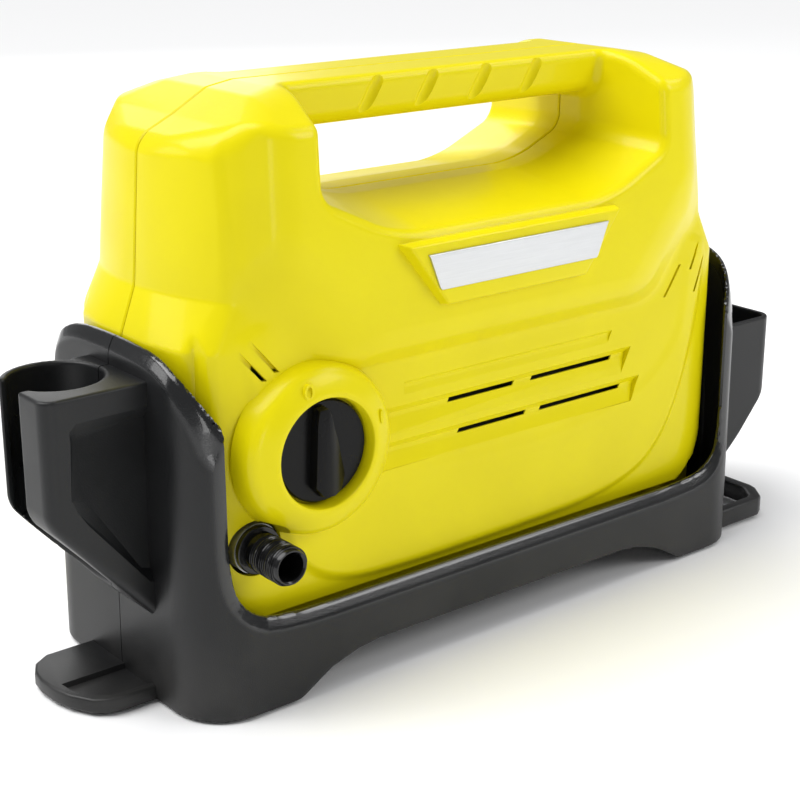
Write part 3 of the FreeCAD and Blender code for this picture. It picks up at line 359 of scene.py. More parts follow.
def moulding_marks():
    """Fine grain and broad cloudy variation of a moulded plastic, shared by every plastic."""
    group = bpy.data.node_groups.new("moulding_marks", "ShaderNodeTree")
    for label, kind, way in (
        ("Grain Scale", "NodeSocketFloat", "INPUT"),
        ("Cloud Scale", "NodeSocketFloat", "INPUT"),
        ("Grain", "NodeSocketFloat", "OUTPUT"),
        ("Cloud", "NodeSocketFloat", "OUTPUT"),
        ("Low Dust", "NodeSocketFloat", "OUTPUT"),
    ):
        group.interface.new_socket(label, in_out=way, socket_type=kind)
    nodes, wires = group.nodes, group.links
    entry, leave = nodes.new("NodeGroupInput"), nodes.new("NodeGroupOutput")
    place = nodes.new("ShaderNodeTexCoord")
    grain, cloud = nodes.new("ShaderNodeTexNoise"), nodes.new("ShaderNodeTexNoise")
    grain.inputs["Detail"].default_value = 3
    cloud.inputs["Detail"].default_value = 4
    for noise, label in ((grain, "Grain Scale"), (cloud, "Cloud Scale")):
        wires.new(place.outputs["Object"], noise.inputs["Vector"])
        wires.new(entry.outputs[label], noise.inputs["Scale"])
    spread = nodes.new("ShaderNodeMapRange")
    spread.inputs["From Min"].default_value = 0.38
    spread.inputs["From Max"].default_value = 0.62
    wires.new(cloud.outputs["Fac"], spread.inputs["Value"])
    split = nodes.new("ShaderNodeSeparateXYZ")
    wires.new(place.outputs["Object"], split.inputs["Vector"])
    height = nodes.new("ShaderNodeMapRange")
    height.inputs["From Min"].default_value = 0.05
    height.inputs["From Max"].default_value = 0.0
    wires.new(split.outputs["Z"], height.inputs["Value"])
    dust = nodes.new("ShaderNodeMath")
    dust.operation = "MULTIPLY"
    wires.new(height.outputs["Result"], dust.inputs[0])
    wires.new(spread.outputs["Result"], dust.inputs[1])
    wires.new(grain.outputs["Fac"], leave.inputs["Grain"])
    wires.new(spread.outputs["Result"], leave.inputs["Cloud"])
    wires.new(dust.outputs["Value"], leave.inputs["Low Dust"])
    return group


MOULDING = moulding_marks()


def plastic(name, colour, shade, gloss, dull, grain=900, bump=0.05, dust=0.0, coat=0.0, shine=0.5):
    """A moulded plastic: colour drifts to shade, roughness from gloss to dull, with fine grain."""
    material = bpy.data.materials.new(name)
    material.use_nodes = True
    nodes, wires = material.node_tree.nodes, material.node_tree.links
    shader = nodes["Principled BSDF"]
    shader.inputs["Coat Weight"].default_value = coat
    shader.inputs["Specular IOR Level"].default_value = shine
    shader.inputs["Coat Roughness"].default_value = 0.08
    marks = nodes.new("ShaderNodeGroup")
    marks.node_tree = MOULDING
    marks.inputs["Grain Scale"].default_value = grain
    marks.inputs["Cloud Scale"].default_value = 22
    tint = nodes.new("ShaderNodeMix")
    tint.data_type = "RGBA"
    tint.inputs["A"].default_value = (*colour, 1)
    tint.inputs["B"].default_value = (*shade, 1)
    wires.new(marks.outputs["Cloud"], tint.inputs["Factor"])
    dusty = nodes.new("ShaderNodeMix")
    dusty.data_type = "RGBA"
    dusty.inputs["B"].default_value = (0.30, 0.28, 0.25, 1)
    amount = nodes.new("ShaderNodeMath")
    amount.operation = "MULTIPLY"
    amount.inputs[1].default_value = dust
    wires.new(marks.outputs["Low Dust"], amount.inputs[0])
    wires.new(amount.outputs["Value"], dusty.inputs["Factor"])
    wires.new(tint.outputs["Result"], dusty.inputs["A"])
    wires.new(dusty.outputs["Result"], shader.inputs["Base Color"])
    rough = nodes.new("ShaderNodeMapRange")
    rough.inputs["To Min"].default_value = gloss
    rough.inputs["To Max"].default_value = dull
    wires.new(marks.outputs["Cloud"], rough.inputs["Value"])
    wires.new(rough.outputs["Result"], shader.inputs["Roughness"])
    lift = nodes.new("ShaderNodeBump")
    lift.inputs["Strength"].default_value = bump
    lift.inputs["Distance"].default_value = 0.0004
    wires.new(marks.outputs["Grain"], lift.inputs["Height"])
    wires.new(lift.outputs["Normal"], shader.inputs["Normal"])
    return material


CASING_YELLOW = plastic("casing_yellow", (0.76, 0.66, 0.003), (0.735, 0.635, 0.003), 0.28, 0.34, 420, 0.08, coat=0.10, shine=0.14)


def repeat(name, piece, places, material, scale=1.0):
    """Geometry Nodes: one copy of a piece at each place, made one plain mesh."""
    tree = bpy.data.node_groups.new(name + "_layout", "GeometryNodeTree")
    sockets = {}
    for label, kind in (
        ("Geometry", "NodeSocketGeometry"),
        ("Piece", "NodeSocketObject"),
        ("Size", "NodeSocketFloat"),
        ("Finish", "NodeSocketMaterial"),
    ):
        sockets[label] = tree.interface.new_socket(label, in_out="INPUT", socket_type=kind).identifier
    tree.interface.new_socket("Geometry", in_out="OUTPUT", socket_type="NodeSocketGeometry")
    nodes, wires = tree.nodes, tree.links
    entry, leave = nodes.new("NodeGroupInput"), nodes.new("NodeGroupOutput")
    source, spread = nodes.new("GeometryNodeObjectInfo"), nodes.new("GeometryNodeInstanceOnPoints")
    real, paint = nodes.new("GeometryNodeRealizeInstances"), nodes.new("GeometryNodeSetMaterial")
    wires.new(entry.outputs["Geometry"], spread.inputs["Points"])
    wires.new(entry.outputs["Piece"], source.inputs["Object"])
    wires.new(source.outputs["Geometry"], spread.inputs["Instance"])
    wires.new(entry.outputs["Size"], spread.inputs["Scale"])
    wires.new(spread.outputs["Instances"], real.inputs["Geometry"])
    wires.new(real.outputs["Geometry"], paint.inputs["Geometry"])
    wires.new(entry.outputs["Finish"], paint.inputs["Material"])
    wires.new(paint.outputs["Geometry"], leave.inputs["Geometry"])
    mesh = bpy.data.meshes.new(name)
    mesh.from_pydata([Vector(place) * MM for place in places], [], [])
    obj = link(bpy.data.objects.new(name, mesh))
    layout = obj.modifiers.new("layout", "NODES")
    layout.node_group = tree
    layout[sockets["Piece"]] = piece
    layout[sockets["Size"]] = scale
    layout[sockets["Finish"]] = material
    plain(obj)
    bpy.data.objects.remove(piece)
    return obj


CELL = 1.3
SEAM_GAP = 0.3
CASING_WALL = 3.4
OUT_LINES = np.concatenate([np.arange(92, 4, -CELL), (2.75, 1.65, 0.65, -0.65, -1.65)])


def casing_half(name, side):
    """One shell: skinned, trimmed at the seam with a fine chamfer, and hollowed."""
    ys = np.sort(side * OUT_LINES)
    half = skin(name, one_side(casing_form, side), steps(-177, 177, CELL), ys, steps(20, 283, CELL))
    beyond = slab("beyond", [(-200, 0), (200, 0), (200, 300), (-200, 300)], -side * 20, side * SEAM_GAP)
    carve(half, beyond)
    rim = [v for v in half.data.vertices if abs(v.co.y - side * SEAM_GAP * MM) < 1e-6]
    spots = np.array([v.co for v in rim]) / MM
    slope = np.stack([
        (casing_form(*(spots + step).T) - casing_form(*(spots - step).T)) / 0.4
        for step in 0.2 * np.eye(3)
    ], 1)
    slope[:, 1] = 0
    slope /= np.maximum(np.linalg.norm(slope, axis=1), 0.5)[:, None]
    for vertex, way in zip(rim, slope):
        vertex.co -= Vector(way) * 0.55 * MM
    inner = skin("inner", one_side(lambda x, y, z: casing_form(x, y, z) + CASING_WALL, side),
                 steps(-174, 174, 3.6), np.sort(side * steps(84, -3, 3.6)), steps(21, 280, 3.6))
    return carve(half, inner)


def slot_row(name, spans, side, height=2.4):
    """Cutters for air slots: each span is left, right and height above the ground."""
    row = None
    for left, right, up in spans:
        low, high = up - height / 2, up + height / 2
        outline = [(left, low), (right, low), (right + 1.2, high), (left + 1.2, high)]
        tool = slab(name, outline, side * 55, side * 80)
        row = tool if row is None else carve(row, tool, "UNION")
    return row


def surface_out(form, across, up):
    """How far out from the seam a form's surface is at one spot."""
    outs = np.arange(95, 30, -0.1)
    return outs[np.argmax(form(across, outs, up) < 0)]


def louvre(name, left, right, slot_up, rise, fall, deepest):
    """Cutter for a louvre groove: steep above its slots, and a long slope up to light below them."""
    work = bmesh.new()
    section = [(-80, slot_up - fall), (-80, slot_up + rise)]
    for up, depth in ((slot_up + rise, -0.1), (slot_up + 1.2, deepest), (slot_up - 1.2, deepest), (slot_up - fall, -0.1)):
        section.append((depth - surface_out(casing_form, 0, up), up))
    ends = []
    for across, lean in ((left, 0.0), (right, 0.45)):
        ends.append([work.verts.new(Vector((across + lean * (up - slot_up), y, up)) * MM) for y, up in section])
    work.faces.new(ends[0])
    work.faces.new(ends[1][::-1])
    for index in range(len(section)):
        after = (index + 1) % len(section)
        work.faces.new((ends[0][index], ends[0][after], ends[1][after], ends[1][index]))
    return from_bmesh(name, work)


front = casing_half("casing_front", -1)
carve(front, louvre("louvre_high", -96, 92, 125, 4.6, 9.5, 2.5))
carve(front, louvre("louvre_low", -96, 100, 107.5, 4.6, 9.0, 2.5))
carve(front, louvre("louvre_top", -60, 78, 138.5, 2.6, 3.6, 0.9))
carve(front, slot_row("front_slots", ((-31, 12, 125), (24, 81, 125), (-24, 21, 107.5), (31, 89, 107.5)), -1))

DIAL = (-114, 0, 121)
boss = [
    (0, 60), (42.4, 60), (41.8, 62.6), (41, 66), (40.2, 69), (39, 71.2), (37.4, 72.8), (35.6, 73.8),
    (33.4, 74.8), (30.6, 75.8), (28.6, 76.4), (27.4, 76.5), (26.4, 76.1), (25.9, 75.2), (25.6, 67.2), (25.2, 67),
    (0, 67),
]
carve(front, turned("dial_boss", boss, DIAL, sides=128), "UNION")
carve(front, turned("outlet_well", [(0, 40), (13.6, 40), (13.6, 61.5), (14.6, 64), (14.6, 80), (0, 80)], (-144, 0, 77.5), sides=64))
PLINTH = [(-73, 210.5), (-50, 177), (50, 177), (73, 210.5)]
plinth = slab("plinth", PLINTH, -64, -77.6, 6)
crisp(plinth, CASING_YELLOW, bevel=1.2)
carve(front, plinth, "UNION")

for across, low, high, lean, half, deep in (
    (-140.5, 160, 179, -0.83, 1.3, 1.3), (-147, 157, 176, -0.83, 1.3, 1.3), (142, 164, 178, 0.57, 1.0, 1.8),
    (147.5, 151, 173, 0.5, 1.0, 1.8), (124, 152, 168, 0.75, 1.0, 1.8),
):
    shift = lean * (high - low) / 2
    outline = [(across - shift - half, low), (across - shift + half, low), (across + shift + half, high), (across + shift - half, high)]
    skin_out = surface_out(casing_form, across, (low + high) / 2)
    carve(front, slab("slit", outline, deep - skin_out, -80))

NOTCH = [(0, -15), (2.2, -14), (3.6, -10), (4.2, -4), (4.2, 4), (3.6, 10), (2.2, 14), (0, 15)]
grip = turned("grip", NOTCH, (0, 0, 0), (0.5, 0, 0.86), 32)
GRIP_PLACES = [(-51 + 34 * index, -27.6, 268) for index in range(4)]
grips = repeat("grips", grip, GRIP_PLACES, CASING_YELLOW)
carve(front, grips)

MARK_REACH = 32.6
for turn, wide, tall in ((108, 2.7, 3.8), (20, 0.9, 3.4)):
    spot = (DIAL[0] + MARK_REACH * cos(radians(turn)), DIAL[2] + MARK_REACH * sin(radians(turn)))
    ring = np.linspace(0, 2 * pi, 33)[:-1]
    mark = slab("mark", [(spot[0] + wide * cos(a), spot[1] + tall * sin(a)) for a in ring], -70, -76.2)
    if wide > 1:
        carve(mark, slab("eye", [(spot[0] + 0.55 * wide * cos(a), spot[1] + 0.68 * tall * sin(a)) for a in ring], -69, -80))
    carve(front, mark, "UNION")
front = crisp(front, CASING_YELLOW)
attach(front, "root")
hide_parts("front_shell")

rear = casing_half("casing_rear", 1)
rear_spans = [(left, left + 56, up) for left in (-30, 40) for up in (107.5, 116.25, 125)]
carve(rear, slot_row("rear_slots", rear_spans, 1))
carve(rear, turned("inlet_well", [(0, 40), (15, 40), (15, 80), (0, 80)], (-144, 0, 92), (0, 1, 0), 64))
carve(rear, turned("gland_well", [(0, 40), (8, 40), (8, 80), (0, 80)], (132, 0, 62), (0, 1, 0), 48))
SCREWS = [(-150, 40), (0, 45), (150, 40), (-118, 172), (135, 150), (-141, 236), (141, 236)]
for across, up in SCREWS:
    carve(rear, turned("screw_pillar", [(0, 1), (6.5, 1), (6.5, 48), (0, 48)], (across, 0, up), (0, 1, 0), 32), "UNION")
    carve(rear, turned("screw_well", [(0, 11), (4.3, 11), (4.3, 95), (0, 95)], (across, 0, up), (0, 1, 0), 32))
crisp(rear, CASING_YELLOW)
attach(rear, "root")
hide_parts("rear_shell")


# Cradle: the black lower frame that the casing stands in, moulded in two halves in satin
# grained plastic, with a glossy rounded rim, tall corner posts and feet either side of an arch.
def rim_polish(material, rough):
    """Polish the plastic where the piece's own polish value is 1, and leave it satin at 0."""
    nodes, wires = material.node_tree.nodes, material.node_tree.links
    shader = nodes["Principled BSDF"]
    satin = shader.inputs["Roughness"].links[0].from_socket
    where, blend = nodes.new("ShaderNodeAttribute"), nodes.new("ShaderNodeMix")
    where.attribute_name = "polish"
    blend.inputs["B"].default_value = rough
    wires.new(where.outputs["Fac"], blend.inputs["Factor"])
    wires.new(satin, blend.inputs["A"])
    wires.new(blend.outputs["Result"], shader.inputs["Roughness"])
    coat = nodes.new("ShaderNodeMath")
    coat.operation = "MULTIPLY"
    coat.inputs[1].default_value = 0.6
    wires.new(where.outputs["Fac"], coat.inputs[0])
    wires.new(coat.outputs["Value"], shader.inputs["Coat Weight"])


CRADLE_BLACK = plastic("cradle_black", (0.0070, 0.0073, 0.0078), (0.0095, 0.0100, 0.0106), 0.36, 0.44, 1500, 0.22, 0.06, shine=0.34)
rim_polish(CRADLE_BLACK, 0.15)
OPENING = softened([
    (164, 400), (164, 110), (164, 68), (157, 53), (140, 45), (60, 45), (-60, 45), (-140, 45), (-157, 53), (-164, 68),
    (-164, 110), (-164, 400),
])


POST_SWEEP = softened([
    (-90, 171), (-40, 171), (20, 171), (40, 168.5), (56, 160), (66, 144), (72, 126), (90, 118), (90, -90), (-90, -90),
])


CRADLE_WALL = 5.6
RIM_BEVEL = 6.5


def cradle_plan(x, y, z, inset):
    shrink = 2.0 * np.clip(z / 175, 0, 1)
    wide, deep = np.abs(x) - (183 - shrink - 28), np.abs(y) - (74 - 28)
    return np.hypot(np.maximum(wide, 0), np.maximum(deep, 0)) + np.minimum(np.maximum(wide, deep), 0) - 28 + inset


def rim_distance(x, y, z):
    """How far a spot is from the posts' tops or the window, whichever is nearer."""
    window = np.where(np.abs(y) > 40, outline_distance(OPENING, x, z), 60)
    return np.minimum(window, -outline_distance(POST_SWEEP, np.abs(y), z))


def cradle_form(x, y, z):
    across, out = np.abs(x), np.abs(y)
    top = outline_distance(POST_SWEEP, out, z)
    window = outline_distance(OPENING, x, z)
    skin_out = cradle_plan(x, y, z, 0)
    skin_out = over(skin_out, 0.78 * (skin_out + 0.5 * (RIM_BEVEL - rim_distance(x, y, z))), 1.0)
    body = over(skin_out, over(top, 1.5 - z, 1), 1.2)
    opening = over(window, 52 - out, 4)
    arch = z - np.interp(across, (0, 84, 96, 112, 134, 150), (18.5, 18.5, 17, 12, -1, -14))
    inside = over(cradle_plan(x, y, z, CRADLE_WALL), 22 - z, 2)
    under = over(over(cradle_plan(x, y, z, CRADLE_WALL), z - 18.5, 1), -arch + 3.5, 1)
    body = over(body, -inside, 1.0)
    body = over(body, -opening, 0.8)
    body = over(body, -0.8 * arch, 1.5)
    return over(body, -under, 0.6)


def cradle_half(name, node, side):
    ys = np.sort(side * np.concatenate([np.arange(77, 4, -CELL), (2.75, 1.65, 0.65, -0.65, -1.65)]))
    half = skin(name, one_side(cradle_form, side), steps(-186, 186, CELL), ys, steps(0.2, 174, CELL))
    carve(half, slab("beyond", [(-200, -5), (200, -5), (200, 300), (-200, 300)], -side * 20, side * SEAM_GAP))
    crisp(half, CRADLE_BLACK)
    spots = np.array([vertex.co for vertex in half.data.vertices]) / MM
    polish = half.data.attributes.new("polish", "FLOAT", "POINT")
    polish.data.foreach_set("value", ease(0.5 + (RIM_BEVEL - rim_distance(*spots.T)) / 2.5))
    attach(half, "root")
    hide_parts(node)
    return half


cradle_half("frame_front", "cradle_front", -1)
cradle_half("frame_rear", "cradle_rear", 1)


# Gun holster: a C-shaped cup on the left end that the spray gun's barrel drops into. Its
# front half is a thick block with a recessed panel, its rear half a thin round wall with
# guide ribs inside. Each half is moulded with that half of the cradle.
CUP_ACROSS, CUP_RADIUS = -208, 21.5


def cup_form(x, y, z):
    radius = np.hypot(x - CUP_ACROSS, y)
    block = over(np.abs(y) - 33.5, -x - 232, 7)
    wall = join(over(radius - CUP_RADIUS - 3.3, -x - 231, 2), over(y - 20, -x - 190, 2), 3)
    body = np.where(y < 0, block, wall)
    body = over(body, over(z - 158, x + 176, 1), 1.4)
    body = over(body, -0.741 * (x + 232) - 0.671 * (z - 100), 4)
    slot = over(np.abs(y) - 10.5, x - CUP_ACROSS, 1)
    body = over(body, CUP_RADIUS - radius, 1.4)
    return over(body, -slot, 1.6)


FINE = 0.9


def cup_half(name, node, side):
    ys = np.sort(side * np.concatenate([np.arange(36, 3, -FINE), (2.5, 1.5, 0.6, -0.6, -1.6)]))
    one_half = one_side(lambda x, y, z: cup_form(x, y + 0 * x + 0 * z if side > 0 else -np.abs(y), z), side)
    half = skin(name, one_half, steps(-235, -174, FINE), ys, steps(36, 161, FINE))
    carve(half, slab("beyond", [(-260, 0), (-150, 0), (-150, 300), (-260, 300)], -side * 20, side * SEAM_GAP))
    return half


def finish_half(half, node):
    crisp(half, CRADLE_BLACK)
    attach(half, "root")
    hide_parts(node)


cup_front = cup_half("gun_cup_front", "gun_holster_front", -1)
panel = [(-175, 148), (-217, 147.5), (-221, 144), (-222.5, 112), (-219, 104), (-184, 62), (-175, 60)]
carve(cup_front, slab("panel", panel, -34.2, -29.8, 8.0))
finish_half(cup_front, "gun_holster_front")

cup_rear = cup_half("gun_cup_rear", "gun_holster_rear", 1)
rib = turned("rib", [(20.4, 0), (22.4, 0), (22.4, 1.1), (20.4, 1.1)], (0, 0, 0), (0, 0, 1), 72)
carve(rib, slab("rib_trim", [(-40, -40), (40, -40), (40, 12), (-12, 12), (-12, 40), (-40, 40)], -5, 5, plane="XY"))
ribs = repeat("cup_ribs", rib, [(CUP_ACROSS, 0, up) for up in (88, 112, 136)], CRADLE_BLACK)
carve(cup_rear, ribs, "UNION")
finish_half(cup_rear, "gun_holster_rear")


# Lance holster: a low open pocket on the right end for the spray lances, moulded with the
# cradle's halves, thin walled, with a slanted bottom and a shallow panel on each flank.
def pocket_form(x, y, z):
    out = np.abs(y)
    slope = 0.749 * (x - 232) - 0.663 * (z - 77)
    body = over(out - 47, x - 232, 9)
    body = over(body, over(z - 119, slope, 3), 1.2)
    body = over(body, over(0.63 * (x - 201) - 0.777 * (z - 42), 176 - x, 1), 3)
    room = over(over(out - 44, x - 229, 6), over(187 - x, slope + 3, 2), 2)
    room = over(room, 42 - z, 2)
    return over(body, -room, 0.9)


def pocket_half(name, node, side):
    ys = np.sort(side * np.concatenate([np.arange(49.6, 3, -FINE), (2.5, 1.5, 0.6, -0.6, -1.6)]))
    half = skin(name, one_side(pocket_form, side), steps(174, 235, FINE), ys, steps(26, 122, FINE))
    carve(half, slab("beyond", [(150, 0), (260, 0), (260, 300), (150, 300)], -side * 20, side * SEAM_GAP))
    panel = [(188, 112), (223, 112), (223, 82), (200, 54), (188, 50)]
    carve(half, slab("panel", panel, side * 48, side * 45.6, 3.0))
    finish_half(half, node)


pocket_half("lance_pocket_front", "lance_holster_front", -1)
pocket_half("lance_pocket_rear", "lance_holster_rear", 1)


# Tongue and hose loop: two flat black mouldings clipped under the ends of the cradle. The
# tongue has a shallow tray in its front half, and the loop is a frame for the wound-up hose.
TONGUE = [(-176, 30), (-208, 30), (-216, 25), (-220.5, 17), (-222, 8), (-221.5, -4), (-219, -14), (-213, -25),
          (-206, -30), (-198, -31), (-176, -31)]
TRAY = [(-165, -2), (-217, -2), (-216, -12), (-210, -22), (-205, -26), (-198, -27.5), (-165, -27.5)]
tongue = crisp(slab("tongue", TONGUE, 1.5, 9, plane="XY"), CRADLE_BLACK, bevel=1.4)
carve(tongue, slab("tray", TRAY, 9.6, 6.6, 1.8, plane="XY"))
crisp(tongue, CRADLE_BLACK)
LOOP = [(166, -62), (212, -62), (217, -59), (224.5, -49), (226, -44), (226, 44), (224.5, 49), (217, 59), (212, 62), (166, 62)]
EYE = [(160, -55), (209, -55), (212.5, -53), (218, -45.5), (219, -42), (219, 42), (218, 45.5), (212.5, 53), (209, 55), (160, 55)]
loop = slab("loop", LOOP, 2, 13, plane="XY")
carve(loop, slab("eye", EYE, 0, 15, plane="XY"))
crisp(loop, CRADLE_BLACK, bevel=1.6)
for piece, node in ((tongue, "side_tongue"), (loop, "hose_loop")):
    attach(piece, "root")
    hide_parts(node)


# Rubber foot pads: four round plugs pressed up into the cradle's feet.
FOOT_RUBBER = plastic("foot_rubber", (0.012, 0.012, 0.012), (0.018, 0.018, 0.018), 0.75, 0.9, 1200, 0.5, 0.3)


# Dial knob: a black disc with a tapered finger bar, turned in the deep recess of its boss.
KNOB_BLACK = plastic("knob_black", (0.0040, 0.0040, 0.0042), (0.0055, 0.0055, 0.0058), 0.24, 0.34, 1600, 0.12, shine=0.14)
knob = turned("knob", [(0, 68), (23.6, 68), (24.4, 68.8), (24.4, 70.6), (23.6, 71.5), (0, 71.5)], DIAL, sides=96)
lean = radians(7.2)
BAR = [(-2.2, 22.8), (2.2, 22.8), (3.6, 19), (6, 8), (8.6, -8), (9.7, -15), (6, -20.6), (0, -22), (-6, -20.6), (-9.7, -15), (-8.6, -8), (-6, 8), (-3.6, 19)]
bar_outline = [
    (DIAL[0] + a * cos(lean) - b * sin(lean), DIAL[2] + a * sin(lean) + b * cos(lean)) for a, b in BAR
]
bar = slab("bar", bar_outline, -70, -80, 1.6)
BAR_ROOF = [(-16, -74.2), (-4.5, -76.8), (0.5, -77.5), (5.5, -76.0), (16, -70.4), (16, -90), (-16, -90)]
carve(bar, slab("bar_roof", [(DIAL[0] + a, depth) for a, depth in BAR_ROOF], 90, 150, plane="XY"))
crisp(bar, KNOB_BLACK, bevel=0.8)
carve(knob, bar, "UNION")
crisp(knob, KNOB_BLACK)
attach(knob, "dial")
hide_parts("dial_knob")


# Name plate: a thin brushed aluminium strip glued on its plinth, left blank.
def metal(name, colour, rough, along, stretch=(1, 1, 1), scale=900, bump=0.08):
    """Brushed, turned or cast metal: fine streaks change its roughness and height."""
    material = bpy.data.materials.new(name)
    material.use_nodes = True
    nodes, wires = material.node_tree.nodes, material.node_tree.links
    shader = nodes["Principled BSDF"]
    shader.inputs["Metallic"].default_value = 1.0
    place, squeeze = nodes.new("ShaderNodeTexCoord"), nodes.new("ShaderNodeMapping")
    squeeze.inputs["Scale"].default_value = stretch
    streak = nodes.new("ShaderNodeTexNoise")
    streak.inputs["Scale"].default_value = scale
    streak.inputs["Detail"].default_value = 4
    wires.new(place.outputs["Object"], squeeze.inputs["Vector"])
    wires.new(squeeze.outputs["Vector"], streak.inputs["Vector"])
    tint = nodes.new("ShaderNodeMix")
    tint.data_type = "RGBA"
    tint.inputs["A"].default_value = (*[0.82 * c for c in colour], 1)
    tint.inputs["B"].default_value = (*colour, 1)
    wires.new(streak.outputs["Fac"], tint.inputs["Factor"])
    wires.new(tint.outputs["Result"], shader.inputs["Base Color"])
    rough_range = nodes.new("ShaderNodeMapRange")
    rough_range.inputs["To Min"].default_value = rough - 0.08
    rough_range.inputs["To Max"].default_value = rough + 0.08
    wires.new(streak.outputs["Fac"], rough_range.inputs["Value"])
    wires.new(rough_range.outputs["Result"], shader.inputs["Roughness"])
    lift = nodes.new("ShaderNodeBump")
    lift.inputs["Strength"].default_value = bump
    lift.inputs["Distance"].default_value = 0.0003
    wires.new(streak.outputs["Fac"], lift.inputs["Height"])
    wires.new(lift.outputs["Normal"], shader.inputs["Normal"])
    return material


PLATE_SILVER = metal("plate_silver", (0.66, 0.67, 0.68), 0.40, None, (0.04, 1, 1), 1400, 0.25)
PLATE = [(-58, 204.5), (-57, 203), (-51, 188), (-50, 187), (50, 187), (51, 188), (57, 203), (58, 204.5)]
plate = crisp(slab("plate", PLATE, -77.6, -79), PLATE_SILVER, bevel=0.35)
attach(plate, "root")
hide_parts("name_plate")


# Threaded stubs: glossy black nylon spigots on the pump for the high-pressure hose in front
# and the garden hose behind, each a turned barrel with a fine thread up to its chamfered lip.
FITTING_BLACK = plastic("fitting_black", (0.005, 0.005, 0.0055), (0.007, 0.007, 0.0075), 0.16, 0.26, 1500, 0.06, coat=0.2, shine=0.3)


def thread_ridge(name, radius, pitch, turns, wire, material):
    """Geometry Nodes: a helical ridge about +Z, from the origin up."""
    tree = bpy.data.node_groups.new(name + "_winding", "GeometryNodeTree")
    sockets = {}
    for label, kind in (
        ("Radius", "NodeSocketFloat"), ("Rise", "NodeSocketFloat"), ("Turns", "NodeSocketFloat"),
        ("Ridge", "NodeSocketFloat"), ("Finish", "NodeSocketMaterial"),
    ):
        sockets[label] = tree.interface.new_socket(label, in_out="INPUT", socket_type=kind).identifier
    tree.interface.new_socket("Geometry", in_out="OUTPUT", socket_type="NodeSocketGeometry")
    nodes, wires = tree.nodes, tree.links
    entry, leave = nodes.new("NodeGroupInput"), nodes.new("NodeGroupOutput")
    helix, section = nodes.new("GeometryNodeCurveSpiral"), nodes.new("GeometryNodeCurvePrimitiveCircle")
    sweep = nodes.new("GeometryNodeCurveToMesh")
    real, paint = nodes.new("GeometryNodeRealizeInstances"), nodes.new("GeometryNodeSetMaterial")
    helix.inputs["Resolution"].default_value = 48
    section.inputs["Resolution"].default_value = 6
    sweep.inputs["Fill Caps"].default_value = True
    wires.new(entry.outputs["Radius"], helix.inputs["Start Radius"])
    wires.new(entry.outputs["Radius"], helix.inputs["End Radius"])
    wires.new(entry.outputs["Rise"], helix.inputs["Height"])
    wires.new(entry.outputs["Turns"], helix.inputs["Rotations"])
    wires.new(entry.outputs["Ridge"], section.inputs["Radius"])
    wires.new(helix.outputs["Curve"], sweep.inputs["Curve"])
    wires.new(section.outputs["Curve"], sweep.inputs["Profile Curve"])
    wires.new(sweep.outputs["Mesh"], real.inputs["Geometry"])
    wires.new(real.outputs["Geometry"], paint.inputs["Geometry"])
    wires.new(entry.outputs["Finish"], paint.inputs["Material"])
    wires.new(paint.outputs["Geometry"], leave.inputs["Geometry"])
    obj = link(bpy.data.objects.new(name, bpy.data.meshes.new(name)))
    winding = obj.modifiers.new("winding", "NODES")
    winding.node_group = tree
    winding[sockets["Radius"]] = radius * MM
    winding[sockets["Rise"]] = pitch * turns * MM
    winding[sockets["Turns"]] = float(turns)
    winding[sockets["Ridge"]] = wire * MM
    winding[sockets["Finish"]] = material
    return plain(obj)


def stub(name, node, radius, bore, flange, centre, side, pitch, turns, start):
    barrel = [
        (bore, 60), (flange, 60), (flange, 62.6), (flange - 0.5, 63), (radius - 0.4, 63), (radius - 0.4, start - 1),
        (radius - 0.7, start), (radius - 0.7, 86.6), (radius - 1.5, 88), (bore + 0.7, 88), (bore, 87.2),
    ]
    body = turned(name, barrel, centre, (0, side, 0), 96)
    ridge = thread_ridge(name + "_thread", radius - 0.55, pitch, turns, 0.42, FITTING_BLACK)
    ridge.data.transform(Matrix.Rotation(radians(-90 * side), 4, "X"))
    ridge.data.transform(Matrix.Translation(Vector((centre[0], side * start, centre[2])) * MM))
    crisp(body, FITTING_BLACK)
    crisp(ridge, FITTING_BLACK)
    for piece in (body, ridge):
        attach(piece, "root")
    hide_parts(node)


stub("outlet", "outlet_stub", 9.6, 6.75, 11.6, (-144, 0, 77.5), -1, 1.45, 13, 67.5)
stub("inlet", "inlet_stub", 13.2, 9.5, 14, (-144, 0, 92), 1, 1.9, 7, 72)


# Casing screws: seven pan-head steel screws with a cross recess, at the bottom of deep wells.
SCREW_STEEL = metal("screw_steel", (0.60, 0.61, 0.63), 0.30, None, (1, 1, 1), 1500)
head = turned("head", [(0, 0), (4, 0), (4, 1.6), (3.5, 2.5), (2.4, 3.0), (0, 3.1)], (0, 0, 0), (0, 1, 0), 32)
for quarter in (0, 90):
    cross = slab("cross", [(-2.1, -0.42), (2.1, -0.42), (2.1, 0.42), (-2.1, 0.42)], 1.2, 4)
    cross.data.transform(Matrix.Rotation(radians(quarter), 4, "Y"))
    carve(head, cross)
shank = turned("shank", [(0, -26), (1.1, -25), (1.55, -22), (1.55, 0.5), (0, 0.5)], (0, 0, 0), (0, 1, 0), 20)
carve(head, shank, "UNION")
screws = repeat("casing_screws", head, [(across, 11, up) for across, up in SCREWS], SCREW_STEEL)
crisp(screws, SCREW_STEEL)
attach(screws, "root")
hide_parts("shell_screws")


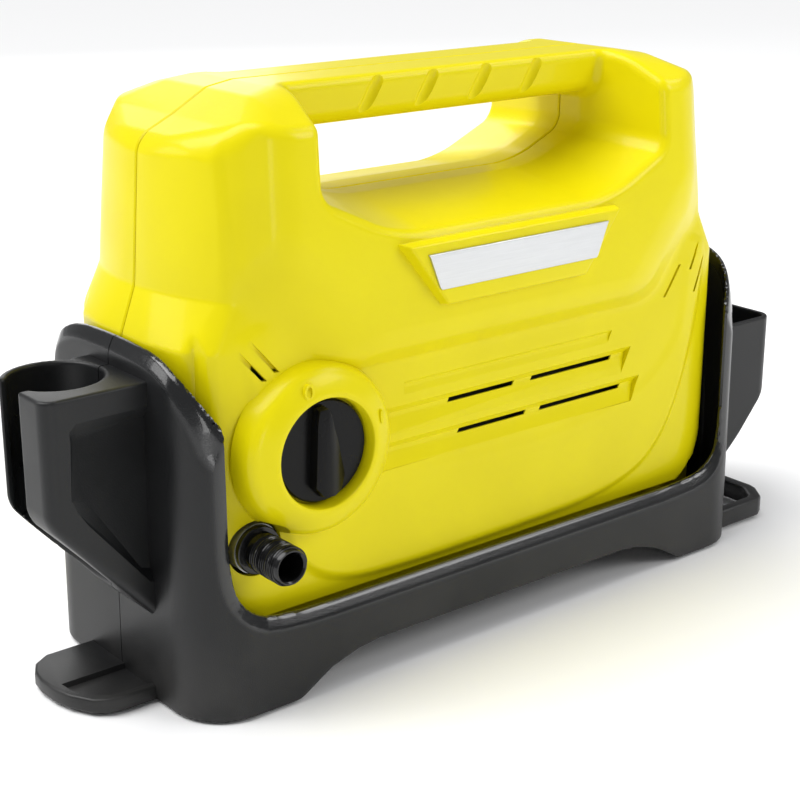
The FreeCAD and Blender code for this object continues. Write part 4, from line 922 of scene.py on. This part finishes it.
# What the casing hides: motor, gears, pump and wiring keep their designed shape and get the
# finish of what they are made of.
INNER_BLACK = plastic("inner_black", (0.016, 0.016, 0.017), (0.022, 0.022, 0.023), 0.42, 0.55, 1200, 0.2)
INNER_GREY = plastic("inner_grey", (0.16, 0.165, 0.17), (0.19, 0.195, 0.20), 0.42, 0.55, 1200, 0.2)
GEAR_PLASTIC = plastic("gear_plastic", (0.62, 0.60, 0.52), (0.66, 0.64, 0.56), 0.34, 0.44, 1200, 0.1)
SEAL_RUBBER = plastic("seal_rubber", (0.015, 0.015, 0.015), (0.020, 0.020, 0.020), 0.6, 0.75, 1500, 0.3)
SWITCH_GREY = plastic("switch_grey", (0.24, 0.25, 0.26), (0.28, 0.29, 0.30), 0.40, 0.50, 1200, 0.15)
CAPACITOR_BLUE = plastic("capacitor_blue", (0.03, 0.10, 0.32), (0.04, 0.12, 0.36), 0.28, 0.36, 900, 0.08)
BRUSH_CARBON = plastic("brush_carbon", (0.03, 0.03, 0.032), (0.045, 0.045, 0.048), 0.5, 0.65, 1800, 0.35)
CAST_ALLOY = metal("cast_alloy", (0.58, 0.59, 0.60), 0.52, None, (1, 1, 1), 700, 0.3)
CORE_STEEL = metal("core_steel", (0.34, 0.35, 0.37), 0.46, None, (8, 1, 1), 500, 0.2)
SHAFT_STEEL = metal("shaft_steel", (0.66, 0.67, 0.69), 0.24, None, (1, 0.2, 0.2), 1400)
WINDING_COPPER = metal("winding_copper", (0.72, 0.28, 0.10), 0.34, None, (0.3, 3, 3), 900, 0.5)
COMMUTATOR_COPPER = metal("commutator_copper", (0.80, 0.38, 0.20), 0.28, None, (1, 1, 1), 1100)
SPRING_STEEL = metal("spring_steel", (0.50, 0.51, 0.54), 0.28, None, (1, 1, 1), 1300)
FINISHES = {
    INNER_BLACK: ("cord_gland", "air_baffle", "brush_holders", "terminal_block", "piston_seals"),
    INNER_GREY: ("motor_housing", "cooling_fan", "valve_cover", "inlet_strainer"),
    GEAR_PLASTIC: ("gear_wheel",),
    SEAL_RUBBER: ("saddle_liners",),
    SWITCH_GREY: ("rotary_switch", "switch_shaft", "pressure_switch"),
    CAPACITOR_BLUE: ("capacitor",),
    BRUSH_CARBON: ("carbon_brushes",),
    CAST_ALLOY: ("gearbox_housing", "cylinder_block", "pump_head"),
    CORE_STEEL: ("stator_core", "armature_core", "swash_plate"),
    SHAFT_STEEL: ("motor_shaft", "pump_shaft", "pinion", "front_bearing", "rear_bearing", "thrust_bearing",
                  "piston_1", "piston_2", "piston_3", "switch_plunger", "check_valves"),
    WINDING_COPPER: ("field_coils", "armature_winding"),
    COMMUTATOR_COPPER: ("commutator",),
    SPRING_STEEL: ("piston_spring_1", "piston_spring_2", "piston_spring_3"),
    SCREW_STEEL: ("head_screws", "cradle_screws"),
    FOOT_RUBBER: ("foot_pads",),
    CRADLE_BLACK: ("drive_saddles",),
}
for material, names in FINISHES.items():
    for node in names:
        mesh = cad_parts[node].data
        mesh.materials.clear()
        mesh.materials.append(material)
